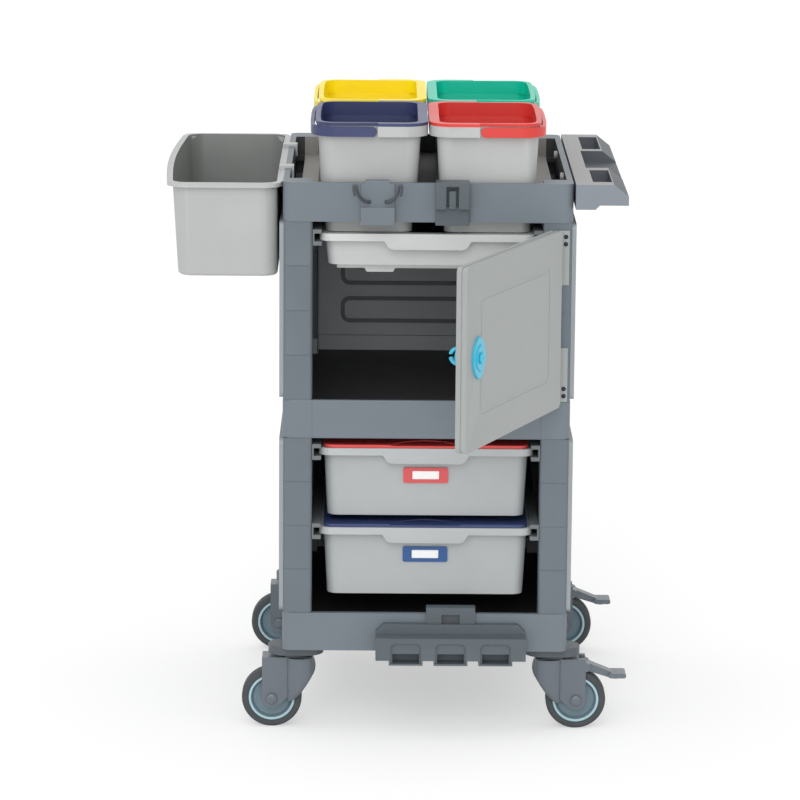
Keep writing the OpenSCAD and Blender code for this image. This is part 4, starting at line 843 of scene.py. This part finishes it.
def jaw_path(root, side, sizes):
    """Points along a mop clip's jaw: forward and out to its tip, over a curl, and down to its end."""
    bend_steps, curl_steps, tail_steps = 12, 6, 6
    start, tail_in, tail_back = 0.38, 0.06 * MM, 0.5 * MM
    path = []
    for k in range(bend_steps + 1):
        a = math.pi / 2 * k / bend_steps
        path.append(root + Vector((
            side * sizes.jaw_out * (start + (1 - start) * math.sin(a)), -sizes.jaw_depth * k / bend_steps,
            sizes.jaw_rise * (1 - math.cos(a)))))
    tip = path[-1]
    for k in range(1, curl_steps + 1):
        a = math.pi * k / curl_steps
        path.append(tip + sizes.jaw_curl * Vector((side * (1 - math.cos(a)), 0, math.sin(a))))
    end = path[-1]
    for k in range(1, tail_steps + 1):
        path.append(end + Vector((-side * tail_in * k * k, tail_back * k, -sizes.jaw_curl * k)))
    return path


class CART_OT_front_fittings(bpy.types.Operator):
    """Mop clip, tool hook and tool rack"""
    bl_idname = "cart.front_fittings"
    bl_label = "Front fittings"

    def execute(self, context):
        sizes = context.scene.cart_sizes
        edge = sizes.fitting_edge
        low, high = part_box("mop_clip")
        root = Vector((centre_of("mop_clip").x, low[1] + 36.8 * MM, high[2] - 34 * MM))
        taper = 0.35

        def bare(bm):
            jaws = [v for v in bm.verts if v.co.y < root.y and v.co.z > root.z]
            bmesh.ops.delete(bm, geom=jaws, context="VERTS")
            bmesh.ops.holes_fill(bm, edges=[e for e in bm.edges if e.is_boundary])
            bm.normal_update()

        dressed("mop_clip", "polypropylene_slate", edge, shape=bare)
        for side, hand in ((-1, "left"), (1, "right")):
            path = jaw_path(root, side, sizes)
            radii = [sizes.jaw_rod * (1 - taper * k / (len(path) - 1)) for k in range(len(path))]
            fitted(swept(f"mop_jaw_{hand}", path, radii), "mop_clip", "polypropylene_grip_dark")
        dressed("tool_hook", "polypropylene_rack", edge)
        piece = dressed("tool_rack", "polypropylene_rack", edge)
        low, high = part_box("tool_rack")
        middle = centre_of("tool_rack").x
        sill, pane = high[2] - 30 * MM, low[1] + 41 * MM

        # Painted shade: the window's back face is dark, standing in for the opening.
        def in_window(c, n):
            return n.y < -FACING and abs(c.x - middle) < 2 * NEAR and c.z > sill and c.y > pane

        paint(piece, "polypropylene_grip_dark", in_window)
        return {"FINISHED"}


def column(name, top, outward, side, sizes):
    """Round column on a fork's cheek, from the swivel down to a slanted foot that runs out into the cheek."""
    rows, columns, sunk, fade = 16, 24, 1 * MM, 0.8
    bm = bmesh.new()
    lines = []
    for i in range(columns + 1):
        across = -math.cos(math.pi * i / columns)
        along = (across + 1) / 2
        foot = sizes.column_short + (sizes.column_long - sizes.column_short) * math.sin(along * math.pi / 2)
        line = []
        for j in range(rows + 1):
            down = math.sin(j / rows * math.pi / 2)
            ended = max(0.0, down - fade) / (1 - fade)
            swell = math.sqrt(max(0.0, 1 - across ** 2)) * math.sqrt(max(0.0, 1 - ended ** 2))
            place = (outward * (sizes.column_middle + across * sizes.column_half),
                     side * (swell * sizes.column_out - sunk), -down * foot)
            line.append(bm.verts.new(top + Vector(place)))
        lines.append(line)
    for first, second in zip(lines, lines[1:]):
        for j in range(rows):
            bm.faces.new((first[j], first[j + 1], second[j + 1], second[j]))
    bm.faces.new([line[0] for line in lines])
    bm.faces.new(lines[0] + [line[-1] for line in lines[1:-1]] + lines[-1][::-1])
    bmesh.ops.recalc_face_normals(bm, faces=bm.faces)
    return meshed(bm, name)


def ring_profile(inner, outer):
    """Section of a wheel's ring: a low band with a soft inner edge and a small outer slope."""
    crown, shoulder = 1.9 * MM, 1.4 * MM
    band = [(inner + 1.2 * MM, crown), (outer - 0.8 * MM, crown)]
    return [(inner, 0), (inner + 0.5 * MM, shoulder), *band, (outer, 0)]


def cap_profile(axle_radius):
    """Section of an axle's cap: a shallow dome over a short skirt."""
    radius, skirt = axle_radius + 1 * MM, 2.5 * MM
    return [
        (0, 1.6 * MM), (radius * 0.55, 1.4 * MM), (radius * 0.85, 0.9 * MM), (radius, 0), (radius, -skirt),
        (0, -skirt)]


class CART_OT_casters(bpy.types.Operator):
    """Casters with their wheels, rings and pedals"""
    bl_idname = "cart.casters"
    bl_label = "Casters"

    def execute(self, context):
        sizes = context.scene.cart_sizes
        dressed("caster_sockets", "polyamide_socket", sizes.caster_edge)
        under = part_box("caster_sockets")[0][2]
        for place in PLACES:
            fork = "fork_" + place
            axle = centre_of("axle_" + place)
            outward = 1 if place.endswith("right") else -1

            def flat_cheeks(bm):
                for vert in bm.verts:
                    off = vert.co.y - axle.y
                    vert.co.y = axle.y + max(-sizes.fork_half, min(sizes.fork_half, off))
                bmesh.ops.dissolve_degenerate(bm, dist=WELD, edges=bm.edges)

            dressed(fork, "polyamide_caster", sizes.caster_edge, shape=flat_cheeks)
            for side, facing in SIDES:
                top = axle + Vector((-outward * sizes.trail, side * sizes.fork_half, 0))
                top.z = under - sizes.column_gap
                mesh = column(f"swivel_housing_{place}_{facing}", top, outward, side, sizes)
                rounded(fitted(mesh, fork, "polyamide_caster"), sizes.fitting_edge)
            dressed("axle_" + place, "zinc_plated_steel", sizes.metal_edge)
            dressed("hub_" + place, "polyamide_hub", sizes.liner_edge)
            dressed("tyre_" + place, "rubber_tyre", sizes.liner_edge)
            hub = centre_of("hub_" + place)
            low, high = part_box("hub_" + place)
            rim = (high[0] - low[0]) / 2
            profile = ring_profile(rim - sizes.ring_width, rim)
            for side, facing in SIDES:
                base = hub + Vector((0, side * sizes.ring_out, 0))
                mesh = turned(f"wheel_ring_{place}_{facing}", profile, base, (0, side, 0))
                settle(mesh, mesh.name, "wheel_" + place, "abs_ring")
        for place in PLACES:
            low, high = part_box("axle_" + place)
            middle = centre_of("axle_" + place)
            profile = cap_profile((high[0] - low[0]) / 2)
            for (side, facing), face in zip(SIDES, (low[1], high[1])):
                base = Vector((middle.x, face, middle.z))
                mesh = turned(f"axle_cap_{place}_{facing}", profile, base, (0, side, 0), steps=48)
                fitted(mesh, "fork_" + place, "polyamide_caster")
        for place in ("front_right", "back_right"):
            dressed("pedal_" + place, "polyamide_caster", sizes.caster_edge)
        return {"FINISHED"}


class CART_OT_stage(bpy.types.Operator):
    """Floor, light and camera"""
    bl_idname = "cart.stage"
    bl_label = "Stage"

    def execute(self, context):
        scene = context.scene
        studio = scene.cart_studio
        scene.view_settings.view_transform = "Standard"

        bm = bmesh.new()
        bmesh.ops.create_grid(bm, x_segments=1, y_segments=1, size=studio.floor_half)
        mesh = meshed(bm, "studio_floor", smooth=False)
        floor = bpy.data.objects.new("studio_floor", mesh)
        scene.collection.objects.link(floor)
        coat = blank("matt_floor_paint")
        matt = add(coat, "BsdfDiffuse", {"Color": WHITE})
        glow = add(coat, "Emission", {"Color": WHITE, "Strength": studio.floor_glow})
        seen = add(coat, "Math", {1: studio.floor_lift}, {0: add(coat, "LightPath").outputs["Is Camera Ray"]},
                   operation="MULTIPLY")
        surface = add(coat, "MixShader",
                      links={0: seen.outputs[0], 1: matt.outputs["BSDF"], 2: glow.outputs["Emission"]})
        add(coat, "OutputMaterial", links={"Surface": surface.outputs["Shader"]})
        mesh.materials.append(coat)

        world = blank("studio_sky", "worlds")
        scene.world = world
        path = add(world, "LightPath")
        seen = path.outputs["Is Camera Ray"]
        for ray in ("Is Glossy Ray", "Is Transmission Ray"):
            seen = add(world, "Math", links={0: seen, 1: path.outputs[ray]}, operation="MAXIMUM").outputs[0]
        level = add(world, "MapRange", {"To Min": studio.sky, "To Max": 1.0}, {"Value": seen})
        sky = add(world, "Background", {"Color": WHITE}, {"Strength": level.outputs["Result"]})
        add(world, "OutputWorld", links={"Surface": sky.outputs["Background"]})

        lights = (
            ("soft_key", studio.sun, studio.sun_from, studio.sun_spread),
            ("soft_top", studio.top, studio.top_from, studio.top_spread),
            ("soft_fill", studio.fill, studio.fill_from, studio.fill_spread),
        )
        for name, energy, source, spread in lights:
            lamp = bpy.data.lights.new(name, "SUN")
            lamp.energy = energy
            lamp.angle = spread
            holder = bpy.data.objects.new(name, lamp)
            holder.rotation_euler = Vector(source).to_track_quat("Z", "Y").to_euler()
            scene.collection.objects.link(holder)

        lens = bpy.data.cameras.new("photo_camera")
        lens.sensor_width = 36
        lens.lens = studio.lens
        lens.clip_end = 200
        camera = bpy.data.objects.new("photo_camera", lens)
        camera.matrix_world = (
            Matrix.Translation(studio.camera_at) @ Matrix.Rotation(-studio.yaw, 4, "Z")
            @ Matrix.Rotation(math.pi / 2 - studio.pitch, 4, "X") @ Matrix.Rotation(studio.roll, 4, "Z"))
        scene.collection.objects.link(camera)
        scene.camera = camera
        return {"FINISHED"}


class CART_PT_sidebar(bpy.types.Panel):
    """Lists the cart's pieces and values"""
    bl_idname = "CART_PT_sidebar"
    bl_label = "Janitor cart"
    bl_space_type = "VIEW_3D"
    bl_region_type = "UI"
    bl_category = "Cart"

    def draw(self, context):
        for operator in OPERATORS:
            self.layout.operator(operator.bl_idname)
        for group in (context.scene.cart_sizes, context.scene.cart_colours, context.scene.cart_studio):
            box = self.layout.box()
            for key in group.bl_rna.properties.keys():
                if key not in ("rna_type", "name"):
                    box.prop(group, key)


OPERATORS = (
    CART_OT_stage, CART_OT_frame, CART_OT_panels, CART_OT_drawers, CART_OT_door, CART_OT_buckets,
    CART_OT_side_bin, CART_OT_push_handle, CART_OT_front_fittings, CART_OT_casters,
)
GROUPS = (CartSizes, CartColours, CartStudio)


def register():
    """Add the classes and the cart's values to Blender."""
    for cls in (*GROUPS, *OPERATORS, CART_PT_sidebar):
        bpy.utils.register_class(cls)
    bpy.types.Scene.cart_sizes = PointerProperty(type=CartSizes)
    bpy.types.Scene.cart_colours = PointerProperty(type=CartColours)
    bpy.types.Scene.cart_studio = PointerProperty(type=CartStudio)


def unregister():
    """Take the classes and values out of Blender."""
    del bpy.types.Scene.cart_sizes
    del bpy.types.Scene.cart_colours
    del bpy.types.Scene.cart_studio
    for cls in reversed((*GROUPS, *OPERATORS, CART_PT_sidebar)):
        bpy.utils.unregister_class(cls)


def main():
    """Build every piece in order."""
    register()
    bpy.ops.cart.stage()
    bpy.ops.cart.frame()
    bpy.ops.cart.panels()
    bpy.ops.cart.drawers()
    bpy.ops.cart.door()
    bpy.ops.cart.buckets()
    bpy.ops.cart.side_bin()
    bpy.ops.cart.push_handle()
    bpy.ops.cart.front_fittings()
    bpy.ops.cart.casters()


if __name__ == "__main__":
    main()
